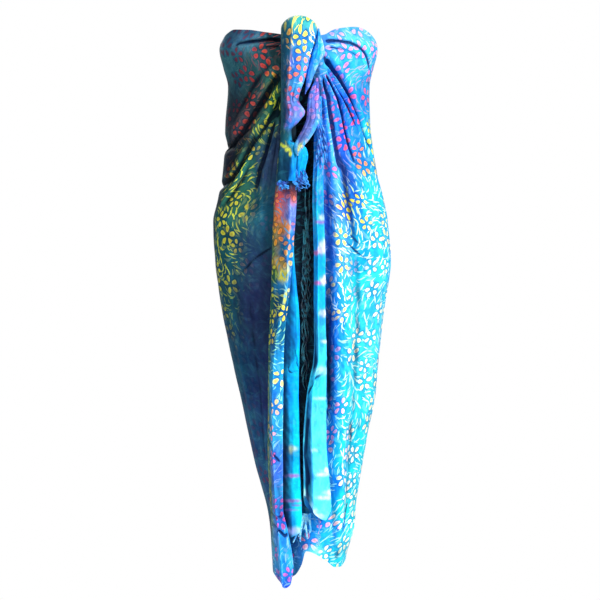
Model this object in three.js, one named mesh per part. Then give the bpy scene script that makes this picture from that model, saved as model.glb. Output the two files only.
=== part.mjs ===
// A batik sarong worn strapless: one fringed rectangle of cloth wound round the figure from the back,
// its two top corners tied at the centre front, its two short ends hanging in folds from the knot.
//
// Millimetres, +Z up. The origin is the middle of the hollow at the height of the top edge.
// The front faces -Y. Angles go round the figure in degrees: 0 at the centre front, +90 at +X,
// -90 at -X and 180 at the centre back.
import * as THREE from 'three';

// ---- driving sizes -------------------------------------------------------------------------

const CLOTH = 1.6;       // thickness of every cloth wall
const SEAM = 0.3;        // gap where one stretch of the cloth is split from the next
const ARC = 2.6;         // length of one degree round the figure, for the widths of folds

// Half-round sections of the wound cloth: how far it reaches to each side, at each height.
const SECTIONS = [
  { z: 20, left: -147, right: 147, front: -100, back: 96 },
  { z: -28, left: -161, right: 155, front: -110, back: 98 },
  { z: -65, left: -153, right: 147, front: -114, back: 97 },
  { z: -102, left: -144, right: 139, front: -111, back: 95 },
  { z: -170, left: -149, right: 140, front: -102, back: 94 },
  { z: -244, left: -152, right: 149, front: -100, back: 100 },
  { z: -284, left: -156, right: 156, front: -102, back: 108 },
  { z: -326, left: -164, right: 167, front: -105, back: 116 },
  { z: -372, left: -174, right: 175, front: -107, back: 122 },
  { z: -446, left: -170, right: 180, front: -106, back: 120 },
  { z: -542, left: -157, right: 168, front: -101, back: 108 },
  { z: -646, left: -136, right: 157, front: -95, back: 98 },
  { z: -724, left: -118, right: 150, front: -91, back: 94 },
  { z: -786, left: -105, right: 137, front: -88, back: 90 },
  { z: -862, left: -88, right: 124, front: -84, back: 86 },
  { z: -936, left: -67, right: 112, front: -81, back: 82 },
  { z: -978, left: -60, right: 109, front: -80, back: 81 },
  { z: -1042, left: -56, right: 92, front: -78, back: 80 },
  { z: -1100, left: -54, right: 84, front: -77, back: 80 },
];

// Height of the top edge and of the hem, round the figure.
const TOP_EDGE = [
  { at: -180, z: -38 }, { at: -125, z: -34 }, { at: -90, z: -14 }, { at: -75, z: 4 },
  { at: -62, z: 12 }, { at: -44, z: 11 }, { at: -27, z: 6 }, { at: -15, z: 2 }, { at: 0, z: -5 },
  { at: 19, z: 1 }, { at: 27, z: 11 }, { at: 36, z: 15 }, { at: 47, z: 17 }, { at: 56, z: 15 },
  { at: 66, z: 8 }, { at: 78, z: -5 }, { at: 90, z: -18 }, { at: 125, z: -34 }, { at: 180, z: -38 },
];
const HEM = [
  { at: -180, z: -1014 }, { at: -125, z: -1022 }, { at: -90, z: -1044 }, { at: -60, z: -1068 },
  { at: -33, z: -1082 }, { at: -22, z: -1077 }, { at: -11, z: -1056 }, { at: -6, z: -1029 },
  { at: 28, z: -1048 }, { at: 48, z: -1061 }, { at: 60, z: -1061 }, { at: 90, z: -1042 },
  { at: 125, z: -1022 }, { at: 180, z: -1014 },
];

// Where the two front panels end, beside the hanging folds.
const VALLEYS = [
  { z: 20, left: -32, right: 38 },
  { z: -48, left: -34, right: 44 },
  { z: -150, left: -36, right: 44 },
  { z: -290, left: -46, right: 50 },
  { z: -480, left: -60, right: 53 },
  { z: -830, left: -63, right: 56 },
  { z: -940, left: -62, right: 62 },
  { z: -1100, left: -60, right: 66 },
];
const STEEPEST = 66;     // degrees: no panel ends further round than this

// Folds of the wound cloth. A path is a list of [angle, z] from its first end to its last.
// rise is the height of the crest, or the depth of a trough where it is negative. On a path that runs
// down, over is the width of its slope on the viewer's right and under of the one on the left.
const FOLDS = [
  // the top edge, drawn in to the knot on both sides
  { path: [[-13, -10], [-22, -8], [-31, -11], [-40, -13], [-50, -16], [-58, -24]],
    rise: -8, over: 12, under: 8, from: 1, to: 0.05 },
  { path: [[20, -12], [31, -12], [42, -15], [51, -23], [60, -38], [68, -55], [75, -72]],
    rise: -6, over: 7, under: 9, from: 0.9, to: 0.2 },
  // the left front, drawn up to the knot: crests, each with a trough below it
  { path: [[-15, -67], [-23, -84], [-30, -103], [-37, -123], [-42, -142], [-49, -161], [-56, -183],
    [-64, -205], [-78, -226], [-100, -240]], rise: 9, over: 9, under: 22, from: 0.7, to: 0.05 },
  { path: [[-15, -80], [-22, -99], [-27, -117], [-33, -137], [-38, -156], [-45, -177], [-53, -199],
    [-64, -216], [-80, -222], [-110, -232]], rise: -10, over: 15, under: 10, from: 0.9, to: 0.1 },
  { path: [[-17, -103], [-20, -118], [-22, -137], [-26, -154], [-30, -169], [-35, -186], [-39, -200],
    [-44, -215], [-49, -236], [-56, -261], [-64, -278], [-84, -290]],
    rise: 9, over: 9, under: 15, from: 0.6, to: 0.05 },
  { path: [[-29, -188], [-34, -206], [-40, -228], [-48, -256], [-60, -284], [-82, -298], [-112, -308]],
    rise: -8, over: 12, under: 9, from: 0.5, to: 0.1 },
  { path: [[-19, -130], [-22, -147], [-25, -166], [-29, -186], [-33, -200], [-39, -227], [-43, -246],
    [-50, -278], [-61, -314], [-78, -360]], rise: 7, over: 12, under: 10, from: 0.6, to: 0.2 },
  { path: [[-18, -150], [-20, -178], [-22, -206], [-26, -234], [-31, -268], [-34, -320]],
    rise: -8, over: 10, under: 12, from: 0.9, to: 0.1 },
  { path: [[-58, -208], [-74, -216], [-90, -219], [-112, -222], [-136, -226], [-156, -230]],
    rise: -12, over: 24, under: 26, from: 0.4, to: 0 },
  { path: [[-62, -288], [-76, -297], [-90, -301], [-110, -306], [-132, -312]],
    rise: -7, over: 13, under: 15, from: 0.4, to: 0 },
  { path: [[-19, -422], [-26, -434], [-34, -448], [-40, -464], [-54, -492]],
    rise: -4, over: 10, under: 12, from: 0.8, to: 0 },
  // the right front, drawn up to the knot
  { path: [[20, -84], [24, -123], [25, -149], [27, -178], [28, -215], [29, -275]],
    rise: -12, over: 9, under: 9, from: 0.8, to: 0.15 },
  { path: [[22, -78], [34, -127], [38, -161], [40, -190], [43, -222], [46, -262]],
    rise: -11, over: 9, under: 8, from: 0.7, to: 0.1 },
  { path: [[21, -60], [34, -98], [43, -127], [53, -161], [61, -184]],
    rise: 6, over: 6, under: 9, from: 0.8, to: 0.1 },
  { path: [[20, -48], [28, -72], [39, -96], [47, -121], [54, -152], [63, -180], [69, -208], [84, -240]],
    rise: -19, over: 15, under: 9, from: 1, to: 0.3 },
  { path: [[28, -412], [35, -426], [43, -440], [49, -450], [59, -458]],
    rise: -4, over: 10, under: 12, from: 0.8, to: 0 },
  // round the sides and the back, from under the arms to the hem
  { path: [[112, -60], [106, -240], [104, -460], [112, -760], [118, -1040]],
    rise: 8, over: 22, under: 26, from: 0.2, to: 1.6 },
  { path: [[146, -40], [140, -260], [150, -520], [146, -800], [148, -1040]],
    rise: -9, over: 24, under: 20, from: 0.4, to: 1.5 },
  { path: [[166, -120], [160, -420], [165, -700], [160, -1040]],
    rise: 8, over: 26, under: 24, from: 0.1, to: 1.7 },
  { path: [[-152, -40], [-158, -300], [-150, -560], [-156, -820], [-150, -1040]],
    rise: -9, over: 22, under: 26, from: 0.4, to: 1.4 },
  { path: [[-126, -240], [-124, -480], [-130, -760], [-126, -1040]],
    rise: 8, over: 24, under: 22, from: 0.1, to: 1.5 },
  { path: [[150, -150], [120, -215], [96, -262]], rise: -6, over: 16, under: 18, from: 0, to: 0.8 },
  { path: [[-160, -190], [-140, -240], [-118, -250]], rise: 6, over: 14, under: 18, from: 0, to: 0.9 },
];

// The long outer fold of the right panel, beside its valley: a crest at each height.
const OUTER_RIGHT = [
  { z: -60, rise: 0, crest: 10, reach: 24 },
  { z: -150, rise: 8, crest: 9, reach: 26 },
  { z: -290, rise: 17, crest: 12, reach: 44 },
  { z: -620, rise: 24, crest: 16, reach: 74 },
  { z: -860, rise: 22, crest: 17, reach: 74 },
  { z: -980, rise: 12, crest: 18, reach: 64 },
  { z: -1050, rise: 0, crest: 18, reach: 60 },
];

// ---- working tools -------------------------------------------------------------------------

const radians = THREE.MathUtils.degToRad;
const degrees = THREE.MathUtils.radToDeg;
const mix = THREE.MathUtils.lerp;
const clamp = THREE.MathUtils.clamp;
const smooth = (t) => THREE.MathUtils.smoothstep(t, 0, 1);

// Reads every column of a table between its rows, smoothly, with no overshoot.
function between(table, key, where, read) {
  const rising = table[1][key] > table[0][key];
  let i = 0;
  while (i < table.length - 2 && (where > table[i + 1][key]) === rising) {
    i += 1;
  }
  const span = table[i + 1][key] - table[i][key];
  const t = clamp((where - table[i][key]) / span, 0, 1);
  const slope = (j) => {
    if (j <= 0 || j >= table.length - 1) {
      return 0;
    }
    const before = (table[j][read] - table[j - 1][read]) / (table[j][key] - table[j - 1][key]);
    const after = (table[j + 1][read] - table[j][read]) / (table[j + 1][key] - table[j][key]);
    return before * after <= 0 ? 0 : 2 * before * after / (before + after);
  };
  const [a, b] = [table[i][read], table[i + 1][read]];
  const [from, to] = [slope(i) * span, slope(i + 1) * span];
  const t2 = t * t;
  const t3 = t2 * t;
  return a * (2 * t3 - 3 * t2 + 1) + from * (t3 - 2 * t2 + t) + b * (3 * t2 - 2 * t3) + to * (t3 - t2);
}

// A closed wall of cloth on a surface(u, v), u across and v down. Its outer face is the surface.
function clothWall(surface, across, down) {
  const step = 1e-3;
  const outer = [];
  const inner = [];
  for (const v of down) {
    for (const u of across) {
      const point = surface(u, v);
      const alongU = surface(u + step, v).sub(surface(u - step, v));
      const alongV = surface(u, v + step).sub(surface(u, v - step));
      const normal = alongV.cross(alongU).normalize();
      outer.push(point);
      inner.push(point.clone().addScaledVector(normal, -CLOTH));
    }
  }
  const wide = across.length;
  const tall = down.length;
  const faces = [];
  const quad = (a, b, c, d) => faces.push([a, b, c], [a, c, d]);
  const back = outer.length;
  const at = (i, j) => j * wide + i;
  for (let j = 0; j < tall - 1; j += 1) {
    for (let i = 0; i < wide - 1; i += 1) {
      quad(at(i, j), at(i, j + 1), at(i + 1, j + 1), at(i + 1, j));
      quad(back + at(i, j), back + at(i + 1, j), back + at(i + 1, j + 1), back + at(i, j + 1));
    }
    quad(at(0, j), back + at(0, j), back + at(0, j + 1), at(0, j + 1));
    quad(at(wide - 1, j), at(wide - 1, j + 1), back + at(wide - 1, j + 1), back + at(wide - 1, j));
  }
  for (let i = 0; i < wide - 1; i += 1) {
    quad(at(i, 0), at(i + 1, 0), back + at(i + 1, 0), back + at(i, 0));
    quad(at(i, tall - 1), back + at(i, tall - 1), back + at(i + 1, tall - 1), at(i + 1, tall - 1));
  }
  const geometry = new THREE.BufferGeometry();
  const places = [...outer, ...inner].flatMap((p) => [p.x, p.y, p.z]);
  geometry.setAttribute('position', new THREE.Float32BufferAttribute(places, 3));
  geometry.setIndex(faces.flat());
  return geometry;
}

const steps = (count) => Array.from({ length: count + 1 }, (_, i) => i / count);

// ---- the wound cloth -----------------------------------------------------------------------

const outwardAt = (angle) => new THREE.Vector3(Math.sin(radians(angle)), -Math.cos(radians(angle)), 0);

// A point on the smooth section, before folds.
function sectionPoint(angle, z) {
  const row = (name) => between(SECTIONS, 'z', z, name);
  const [left, right] = [row('left'), row('right')];
  const turn = radians(angle);
  const depth = Math.cos(turn) > 0 ? row('front') : -row('back');
  return new THREE.Vector3(
    (left + right) / 2 + (right - left) / 2 * Math.sin(turn),
    depth * Math.cos(turn),
    z,
  );
}

// The angle at which the front of the section passes a given x.
function angleAt(x, z) {
  const [left, right] = ['left', 'right'].map((name) => between(SECTIONS, 'z', z, name));
  const steepest = Math.sin(radians(STEEPEST));
  return degrees(Math.asin(clamp((x - (left + right) / 2) / ((right - left) / 2), -steepest, steepest)));
}

// How far one fold lifts the cloth at an angle and height.
function lift(fold, angle, z) {
  let nearest = { away: Infinity };
  let length = 0;
  const legs = fold.path.slice(1).map(([a, height], i) => {
    const [a0, z0] = fold.path[i];
    const leg = { x: (a - a0) * ARC, z: height - z0, a0, z0, before: length };
    leg.length = Math.hypot(leg.x, leg.z);
    length += leg.length;
    return leg;
  });
  for (const leg of legs) {
    const [x, y] = [(angle - leg.a0) * ARC, z - leg.z0];
    const t = clamp((x * leg.x + y * leg.z) / leg.length ** 2, 0, 1);
    const away = Math.hypot(x - t * leg.x, y - t * leg.z);
    if (away < nearest.away) {
      nearest = { away, along: (leg.before + t * leg.length) / length, side: leg.x * y - leg.z * x };
    }
  }
  const slope = nearest.side > 0 ? fold.over : fold.under;
  const ends = smooth(nearest.along * 12 + 0.25) * smooth((1 - nearest.along) * 6 + 0.1);
  return fold.rise * mix(fold.from, fold.to, nearest.along) ** 0.6 * ends
    * smooth(1 - nearest.away / slope);
}

// The pull of the knot draws the cloth round it forward.
const PULL = { angle: 3, z: -78, reach: 78, rise: 5 };

// The wound cloth's outer face, with its folds.
function woundPoint(angle, z) {
  const point = sectionPoint(angle, z);
  let rise = 0;
  for (const fold of FOLDS) {
    rise += lift(fold, angle, z);
  }
  const toKnot = Math.hypot((angle - PULL.angle) * ARC, z - PULL.z) / PULL.reach;
  rise += PULL.rise * smooth(1 - toKnot);
  const inwards = (angle - angleAt(between(VALLEYS, 'z', z, 'right'), z)) * ARC;
  if (inwards > 0 && angle < 90) {
    const crest = between(OUTER_RIGHT, 'z', z, 'crest');
    const reach = between(OUTER_RIGHT, 'z', z, 'reach');
    const shape = inwards < crest ? inwards / crest : 1 - (inwards - crest) / (reach - crest);
    rise += between(OUTER_RIGHT, 'z', z, 'rise') * smooth(shape);
  }
  return point.addScaledVector(outwardAt(angle), rise);
}

// A stretch of the wound cloth between two limits, each an angle or a side of VALLEYS.
function woundStretch(start, end) {
  const limit = (side, z, sign) => {
    const angle = typeof side === 'number' ? side : angleAt(between(VALLEYS, 'z', z, side), z);
    const degree = sectionPoint(angle + 1, z).distanceTo(sectionPoint(angle, z));
    return angle + sign * SEAM / 2 / degree;
  };
  return (u, v) => {
    let z = 0;
    let angle = 0;
    for (let pass = 0; pass < 6; pass += 1) {
      angle = mix(limit(start, z, 1), limit(end, z, -1), u);
      z = mix(between(TOP_EDGE, 'at', angle, 'z'), between(HEM, 'at', angle, 'z'), v);
    }
    return woundPoint(angle, z);
  };
}

// Rows are closer in the upper part, where the cloth is drawn to the knot.
const DRAWN = 0.31;
const ROWS = [
  ...steps(14).map((t) => t * DRAWN),
  ...steps(12).slice(1).map((t) => mix(DRAWN, 1, t)),
];

// ---- the hanging folds ---------------------------------------------------------------------

// A hanging fold rises from its valley, crosses in front and turns back under itself. from is the X
// of its valley side, to the X of its turned side, crown the Y of its front, back the Y of its tucked
// free edge, and tuck how far that edge reaches back across. lies is the Y where it starts: a fold
// with none starts on the wound cloth.
const OUTER_LEFT_FOLD = [
  { z: -150, from: -34, to: -10, crown: -117, back: -110, tuck: 8 },
  { z: -215, from: -40, to: -6, crown: -121, back: -113, tuck: 10 },
  { z: -262, from: -44, to: -4, crown: -129, back: -118, tuck: 12 },
  { z: -330, from: -47, to: -6, crown: -137, back: -123, tuck: 14 },
  { z: -480, from: -59, to: -20, crown: -141, back: -125, tuck: 14 },
  { z: -650, from: -61, to: -32, crown: -135, back: -120, tuck: 10 },
  { z: -830, from: -63, to: -33, crown: -129, back: -116, tuck: 8 },
  { z: -940, from: -61, to: -36, crown: -126, back: -113, tuck: 8 },
  { z: -1000, from: -58, to: -24, crown: -126, back: -106, tuck: 8 },
  { z: -1060, from: -55, to: -14, crown: -124, back: -100, tuck: 6 },
  { z: -1110, from: -50, to: -20, crown: -120, back: -98, tuck: 4 },
];
const OUTER_LEFT_HEM = [
  { u: 0, z: -1062 }, { u: 0.25, z: -1086 }, { u: 0.5, z: -1102 }, { u: 0.75, z: -1086 },
  { u: 0.9, z: -1046 }, { u: 1, z: -1006 },
];
const INNER_LEFT_FOLD = [
  { z: -260, from: -38, to: -14, lies: -110, crown: -115.4, back: -107, tuck: 8 },
  { z: -420, from: -40, to: -12, lies: -112, crown: -121.4, back: -109, tuck: 10 },
  { z: -560, from: -42, to: -4, lies: -112, crown: -120.4, back: -107, tuck: 12 },
  { z: -650, from: -44, to: -2, lies: -108, crown: -117.4, back: -103, tuck: 14 },
  { z: -830, from: -44, to: 0, lies: -102, crown: -113.4, back: -98, tuck: 14 },
  { z: -940, from: -42, to: 4, lies: -100, crown: -111.4, back: -95, tuck: 14 },
  { z: -1010, from: -38, to: 4, lies: -96, crown: -107.4, back: -92, tuck: 10 },
];
const INNER_LEFT_HEM = [
  { u: 0, z: -1004 }, { u: 0.45, z: -998 }, { u: 0.75, z: -978 }, { u: 1, z: -960 },
];
const RIGHT_FOLD = [
  { z: -120, from: 43, to: 32, crown: -121, back: -118, tuck: 2 },
  { z: -200, from: 45, to: 27, crown: -122, back: -113, tuck: 5 },
  { z: -290, from: 48, to: 27, crown: -133, back: -117, tuck: 10 },
  { z: -480, from: 51, to: 28, crown: -137, back: -116, tuck: 14 },
  { z: -640, from: 51, to: 24, crown: -133, back: -110, tuck: 16 },
  { z: -728, from: 52, to: 12, crown: -128, back: -106, tuck: 20 },
  { z: -832, from: 54, to: 8, crown: -125, back: -103, tuck: 22 },
  { z: -938, from: 62, to: 9, crown: -123, back: -100, tuck: 20 },
  { z: -970, from: 62, to: 12, crown: -121, back: -99, tuck: 18 },
];
const RIGHT_HEM = [
  { u: 0, z: -944 }, { u: 0.14, z: -949 }, { u: 0.29, z: -966 }, { u: 0.43, z: -956 },
  { u: 0.58, z: -934 }, { u: 0.71, z: -917 }, { u: 0.84, z: -937 }, { u: 1, z: -956 },
];
const VALLEY = 2;        // from the start of a hanging fold to its outermost side

// The plan of a hanging fold at one height: its points from the valley to the tucked free edge.
function foldPlan({ from, to, start, crown, back, tuck }) {
  const side = Math.sign(to - from);
  const wide = Math.abs(to - from);
  const place = (across, low, y) => new THREE.Vector3(from + side * across, mix(low, crown, y), 0);
  return [
    start,
    place(0, start.y, 0.4),
    place(wide * 0.16, start.y, 0.84),
    place(wide * 0.52, start.y, 1),
    place(wide * 0.86, start.y, 0.9),
    place(wide, back, 0.55),
    place(wide - 2, back, 0.15),
    place(wide - 2 - tuck, back, 0),
  ];
}

// A fold starts just clear of the wound cloth. Where its wall runs along that cloth, at the side, its
// own thickness comes between them too.
const clearance = (angle) => 2.5 * SEAM + CLOTH * Math.abs(Math.sin(radians(angle)));

function hangingFold(rows, top, hem) {
  const keys = Object.keys(rows[0]).filter((key) => key !== 'z');
  return (across, down) => {
    const [u, v] = [clamp(across, 0, 1), clamp(down, 0, 1)];
    const z = mix(top, between(hem, 'u', u, 'z'), v);
    const row = Object.fromEntries(keys.map((key) => [key, between(rows, 'z', z, key)]));
    const inside = row.from + Math.sign(row.to - row.from) * VALLEY;
    const angle = angleAt(inside, z);
    row.start = row.lies
      ? new THREE.Vector3(inside, row.lies, 0)
      : woundPoint(angle, z).addScaledVector(outwardAt(angle), clearance(angle));
    const plan = new THREE.CatmullRomCurve3(foldPlan(row), false, 'catmullrom', 0.5);
    return plan.getPoint(u).setZ(z);
  };
}

// ---- the tie -------------------------------------------------------------------------------

// Strips that run along a path in the YZ plane, each with its own crown. left and right are the X
// of its edges, crown the height of its ridge above them, and ridge its place from 0 to 1. sunk is
// how far its left edge lies behind the path. One corner of the cloth makes the loop over the top
// edge and the gathered end that hangs below it.
const CORNER = [
  { y: -100.2, z: -18, left: -24, right: 20, crown: 3, ridge: 0.5, sunk: 0 },
  { y: -98.2, z: 0, left: -31, right: 30, crown: 9, ridge: 0.5, sunk: 0 },
  { y: -102, z: 12, left: -37, right: 34, crown: 21, ridge: 0.5, sunk: 0 },
  { y: -115, z: 13, left: -38, right: 34, crown: 26, ridge: 0.48, sunk: 0 },
  { y: -125, z: 7, left: -38, right: 34, crown: 27, ridge: 0.42, sunk: 4 },
  { y: -130, z: -10, left: -38, right: 30, crown: 23, ridge: 0.32, sunk: 13 },
  { y: -131, z: -46, left: -38, right: 20, crown: 21, ridge: 0.3, sunk: 15 },
  { y: -131, z: -84, left: -38, right: 11, crown: 19, ridge: 0.33, sunk: 16 },
  { y: -131, z: -128, left: -38, right: -2, crown: 17, ridge: 0.42, sunk: 16 },
  { y: -131, z: -154, left: -38, right: 10, crown: 17, ridge: 0.42, sunk: 14 },
  { y: -131, z: -173, left: -38, right: -2, crown: 14, ridge: 0.52, sunk: 10 },
  { y: -132, z: -191, left: -39, right: -17, crown: 10, ridge: 0.7, sunk: 6 },
  { y: -133.5, z: -211, left: -39, right: -15, crown: 6, ridge: 0.7, sunk: 3 },
  { y: -134.5, z: -225, left: -40, right: 12, crown: 5, ridge: 0.42, sunk: 1 },
  { y: -135.5, z: -241, left: -43, right: 16, crown: 8, ridge: 0.42, sunk: 0 },
  { y: -137, z: -262, left: -44, right: 12, crown: 12, ridge: 0.42, sunk: 0 },
  { y: -137.5, z: -280, left: -46, right: 8, crown: 13, ridge: 0.45, sunk: 0 },
  { y: -138, z: -291.6, left: -46, right: 2, crown: 12, ridge: 0.5, sunk: 0 },
];
const LOOP_ROWS = 13;    // steps of the corner that are the loop; the rest are its end
const STRIP = [
  { y: -116, z: 12, left: 34.7, right: 39, crown: 3, ridge: 0.5, sunk: 0 },
  { y: -119, z: -2, left: 31.5, right: 42, crown: 5, ridge: 0.6, sunk: 0 },
  { y: -121, z: -18, left: 29, right: 47, crown: 8, ridge: 0.6, sunk: 0 },
  { y: -122, z: -36, left: 23, right: 50, crown: 9, ridge: 0.6, sunk: 0 },
  { y: -122, z: -54, left: 18.5, right: 40, crown: 8, ridge: 0.6, sunk: 0 },
  { y: -122, z: -80, left: 12.5, right: 28, crown: 6, ridge: 0.6, sunk: 0 },
  { y: -122, z: -102, left: 11, right: 20, crown: 4, ridge: 0.6, sunk: 0 },
  { y: -122, z: -118, left: 9.6, right: 11.5, crown: 1.5, ridge: 0.5, sunk: 0 },
];
const BAND = [
  { y: -120.5, z: -86, left: 31, right: 36, crown: 2, ridge: 0.5, sunk: 0 },
  { y: -122, z: -104, left: 23, right: 38, crown: 7, ridge: 0.5, sunk: 0 },
  { y: -123.5, z: -128, left: 15.5, right: 39, crown: 10, ridge: 0.5, sunk: 0 },
  { y: -124.5, z: -164, left: 13, right: 40, crown: 12, ridge: 0.55, sunk: 0 },
  { y: -128, z: -187, left: 5, right: 32, crown: 12, ridge: 0.55, sunk: 0 },
  { y: -134.5, z: -207, left: -6, right: 20, crown: 8, ridge: 0.5, sunk: 0 },
  { y: -141, z: -222, left: -12, right: 8, crown: 5, ridge: 0.5, sunk: 0 },
  { y: -145.5, z: -234, left: -10, right: 1, crown: 2, ridge: 0.5, sunk: 0 },
  { y: -148, z: -241, left: -7, right: -4, crown: 1, ridge: 0.5, sunk: 0 },
];

const ROUNDNESS = 0.6;   // 0.5 is an ellipse across, and more is more pointed

function tieStrip(stations) {
  const rows = stations.map((row, i) => ({ ...row, i }));
  const centre = new THREE.CatmullRomCurve3(
    rows.map(({ y, z }) => new THREE.Vector3(0, y, z)), false, 'catmullrom', 0.5);
  return (across, down) => {
    const [u, v] = [clamp(across, 0, 1), clamp(down, 0, 1)];
    const where = v * (rows.length - 1);
    const [left, right, crown, ridge, sunk] = ['left', 'right', 'crown', 'ridge', 'sunk']
      .map((name) => between(rows, 'i', where, name));
    const place = centre.getPoint(v);
    const along = centre.getTangent(v);
    const outward = new THREE.Vector3(0, along.z, -along.y);
    const shape = u < ridge ? u / ridge : (1 - u) / (1 - ridge);
    const rise = crown * (1 - (1 - shape) ** 2) ** ROUNDNESS - sunk * (1 - u) ** 2;
    place.setX(mix(left, right, u));
    return place.addScaledVector(outward, rise);
  };
}

// ---- the fringe ----------------------------------------------------------------------------

// A plain block of a fringe's reach: a tapered prism with eight sides, from its edge of the cloth
// down to its lowest threads. lean and press are how far its foot lies from its head in X and in Y.
function fringeReach({ x, y, top, bottom, wide, narrow = wide, deep, lean = 0, press = 0 }) {
  const rings = 3;
  const sides = 8;
  const places = [];
  const faces = [];
  for (let j = 0; j <= rings; j += 1) {
    const t = j / rings;
    for (let i = 0; i < sides; i += 1) {
      const turn = i / sides * 2 * Math.PI;
      places.push(
        x + lean * t + mix(wide, narrow, t) / 2 * Math.cos(turn),
        y + press * t + deep / 2 * Math.sin(turn),
        mix(top, bottom, t),
      );
    }
  }
  for (let j = 0; j < rings; j += 1) {
    for (let i = 0; i < sides; i += 1) {
      const [a, b] = [j * sides + i, j * sides + (i + 1) % sides];
      faces.push([a, a + sides, b + sides], [a, b + sides, b]);
    }
  }
  for (let i = 1; i < sides - 1; i += 1) {
    faces.push([0, i, i + 1], [rings * sides, rings * sides + i + 1, rings * sides + i]);
  }
  const geometry = new THREE.BufferGeometry();
  geometry.setAttribute('position', new THREE.Float32BufferAttribute(places, 3));
  geometry.setIndex(faces.flat());
  return geometry;
}

const FRINGES = [
  { name: 'fringe_tie_left', x: -30, y: -149, top: -292, bottom: -313, wide: 24, narrow: 24, deep: 10 },
  { name: 'fringe_tie_right', x: 0, y: -148.5, top: -292, bottom: -316, wide: 26, narrow: 34, deep: 10 },
  { name: 'fringe_tassels', x: 45.6, y: -124.6, top: -190, bottom: -256, wide: 8, narrow: 20, deep: 8,
    lean: -3, press: -9 },
  { name: 'fringe_gap', x: 12, y: -113.5, top: -300, bottom: -740, wide: 16, narrow: 12, deep: 5,
    press: 14 },
  { name: 'fringe_hem', x: 12, y: -85, top: -930, bottom: -1018, wide: 24, narrow: 38, deep: 7 },
];

// ---- the whole sarong ----------------------------------------------------------------------

const sarong = new THREE.Group();

function add(name, geometry, colour, roughness = 0.55) {
  const material = new THREE.MeshStandardMaterial({ color: colour, roughness, metalness: 0 });
  const mesh = new THREE.Mesh(geometry, material);
  mesh.name = name;
  sarong.add(mesh);
}

const TEAL = '#1c4a5c';
const NAVY = '#1d2c52';
const TURQUOISE = '#27b4dc';
const BLUE = '#1f6fd0';
const SKY = '#22a7e8';
const LILAC = '#8d7fd0';

const towardsValley = steps(14).map((t) => t ** 1.3);
add('wrap_back_left', clothWall(woundStretch(-180, -90), steps(10), ROWS), NAVY);
add('wrap_back_right', clothWall(woundStretch(90, 180), steps(10), ROWS), BLUE);
add('panel_left', clothWall(woundStretch(-90, 'left'), steps(12), ROWS), TEAL);
add('panel_right', clothWall(woundStretch('right', 90), towardsValley, ROWS), TURQUOISE);
add('underlap', clothWall(woundStretch('left', 'right'), steps(6), ROWS), NAVY);

add('cascade_left_outer',
  clothWall(hangingFold(OUTER_LEFT_FOLD, -152, OUTER_LEFT_HEM), steps(12), steps(16)), TEAL);
add('cascade_left_inner',
  clothWall(hangingFold(INNER_LEFT_FOLD, -300, INNER_LEFT_HEM), steps(11), steps(11)), SKY);
add('cascade_right',
  clothWall(hangingFold(RIGHT_FOLD, -122, RIGHT_HEM), steps(12), steps(14)), SKY);

// The loop and the end part at a seam across the corner.
const corner = tieStrip(CORNER);
const cornerSteps = steps(CORNER.length - 1);
const [before, seam, after] = cornerSteps.slice(LOOP_ROWS - 1, LOOP_ROWS + 2);
const halfSeam = SEAM * (after - before) / corner(0.5, after).distanceTo(corner(0.5, before));
const loopRows = [...cornerSteps.slice(0, LOOP_ROWS), seam - halfSeam];
const endRows = [seam + halfSeam, ...cornerSteps.slice(LOOP_ROWS + 1)];
add('tie_loop', clothWall(corner, steps(9), loopRows), BLUE);
add('tie_end', clothWall(corner, steps(9), endRows), SKY);
add('tie_strip', clothWall(tieStrip(STRIP), steps(5), steps(7)), TURQUOISE);
add('tie_band', clothWall(tieStrip(BAND), steps(5), steps(8)), LILAC);

for (const { name, ...sizes } of FRINGES) {
  add(name, fringeReach(sizes), BLUE, 0.7);
}

export default sarong;
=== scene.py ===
import math
import random

import bpy
import numpy as np
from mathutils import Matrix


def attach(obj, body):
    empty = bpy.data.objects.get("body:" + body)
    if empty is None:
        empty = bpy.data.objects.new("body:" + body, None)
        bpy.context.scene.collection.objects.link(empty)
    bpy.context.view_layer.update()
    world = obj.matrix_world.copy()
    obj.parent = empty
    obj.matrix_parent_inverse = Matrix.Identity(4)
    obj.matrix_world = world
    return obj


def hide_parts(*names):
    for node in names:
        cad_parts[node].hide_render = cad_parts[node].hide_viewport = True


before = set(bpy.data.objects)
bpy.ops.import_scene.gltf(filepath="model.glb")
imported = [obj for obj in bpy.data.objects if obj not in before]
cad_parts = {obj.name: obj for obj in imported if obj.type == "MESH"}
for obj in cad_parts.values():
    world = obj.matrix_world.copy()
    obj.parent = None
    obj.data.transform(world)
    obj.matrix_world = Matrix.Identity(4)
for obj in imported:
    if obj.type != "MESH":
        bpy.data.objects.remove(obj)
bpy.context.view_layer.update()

# ---- Camera ------------------------------------------------------------------------------------
# The sarong is seen straight from the front, level with its middle, from far enough away that its
# sides hardly converge. The view takes in 1.2 m of height.

VIEW_CENTRE = (0.0, -0.528)
VIEW_SPAN = 1.2
VIEW_DISTANCE = 26.0
SENSOR = 36.0

camera_data = bpy.data.cameras.new("camera")
camera_data.sensor_width = SENSOR
camera_data.lens = SENSOR * VIEW_DISTANCE / VIEW_SPAN
camera = bpy.data.objects.new("camera", camera_data)
camera.location = (VIEW_CENTRE[0], -VIEW_DISTANCE, VIEW_CENTRE[1])
camera.rotation_euler = (math.pi / 2, 0, 0)
bpy.context.collection.objects.link(camera)
bpy.context.scene.camera = camera

# ---- The wound cloth: back, sides, two front panels and the inner layer -------------------------
# One rectangle of thin printed rayon goes once round the figure from the back. It is drawn up to
# the knot at the centre front, so folds run down and outwards from there, and lies in loose folds
# behind. Tables are in millimetres and degrees: 0 is the centre front and 90 the viewer's right.

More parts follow.
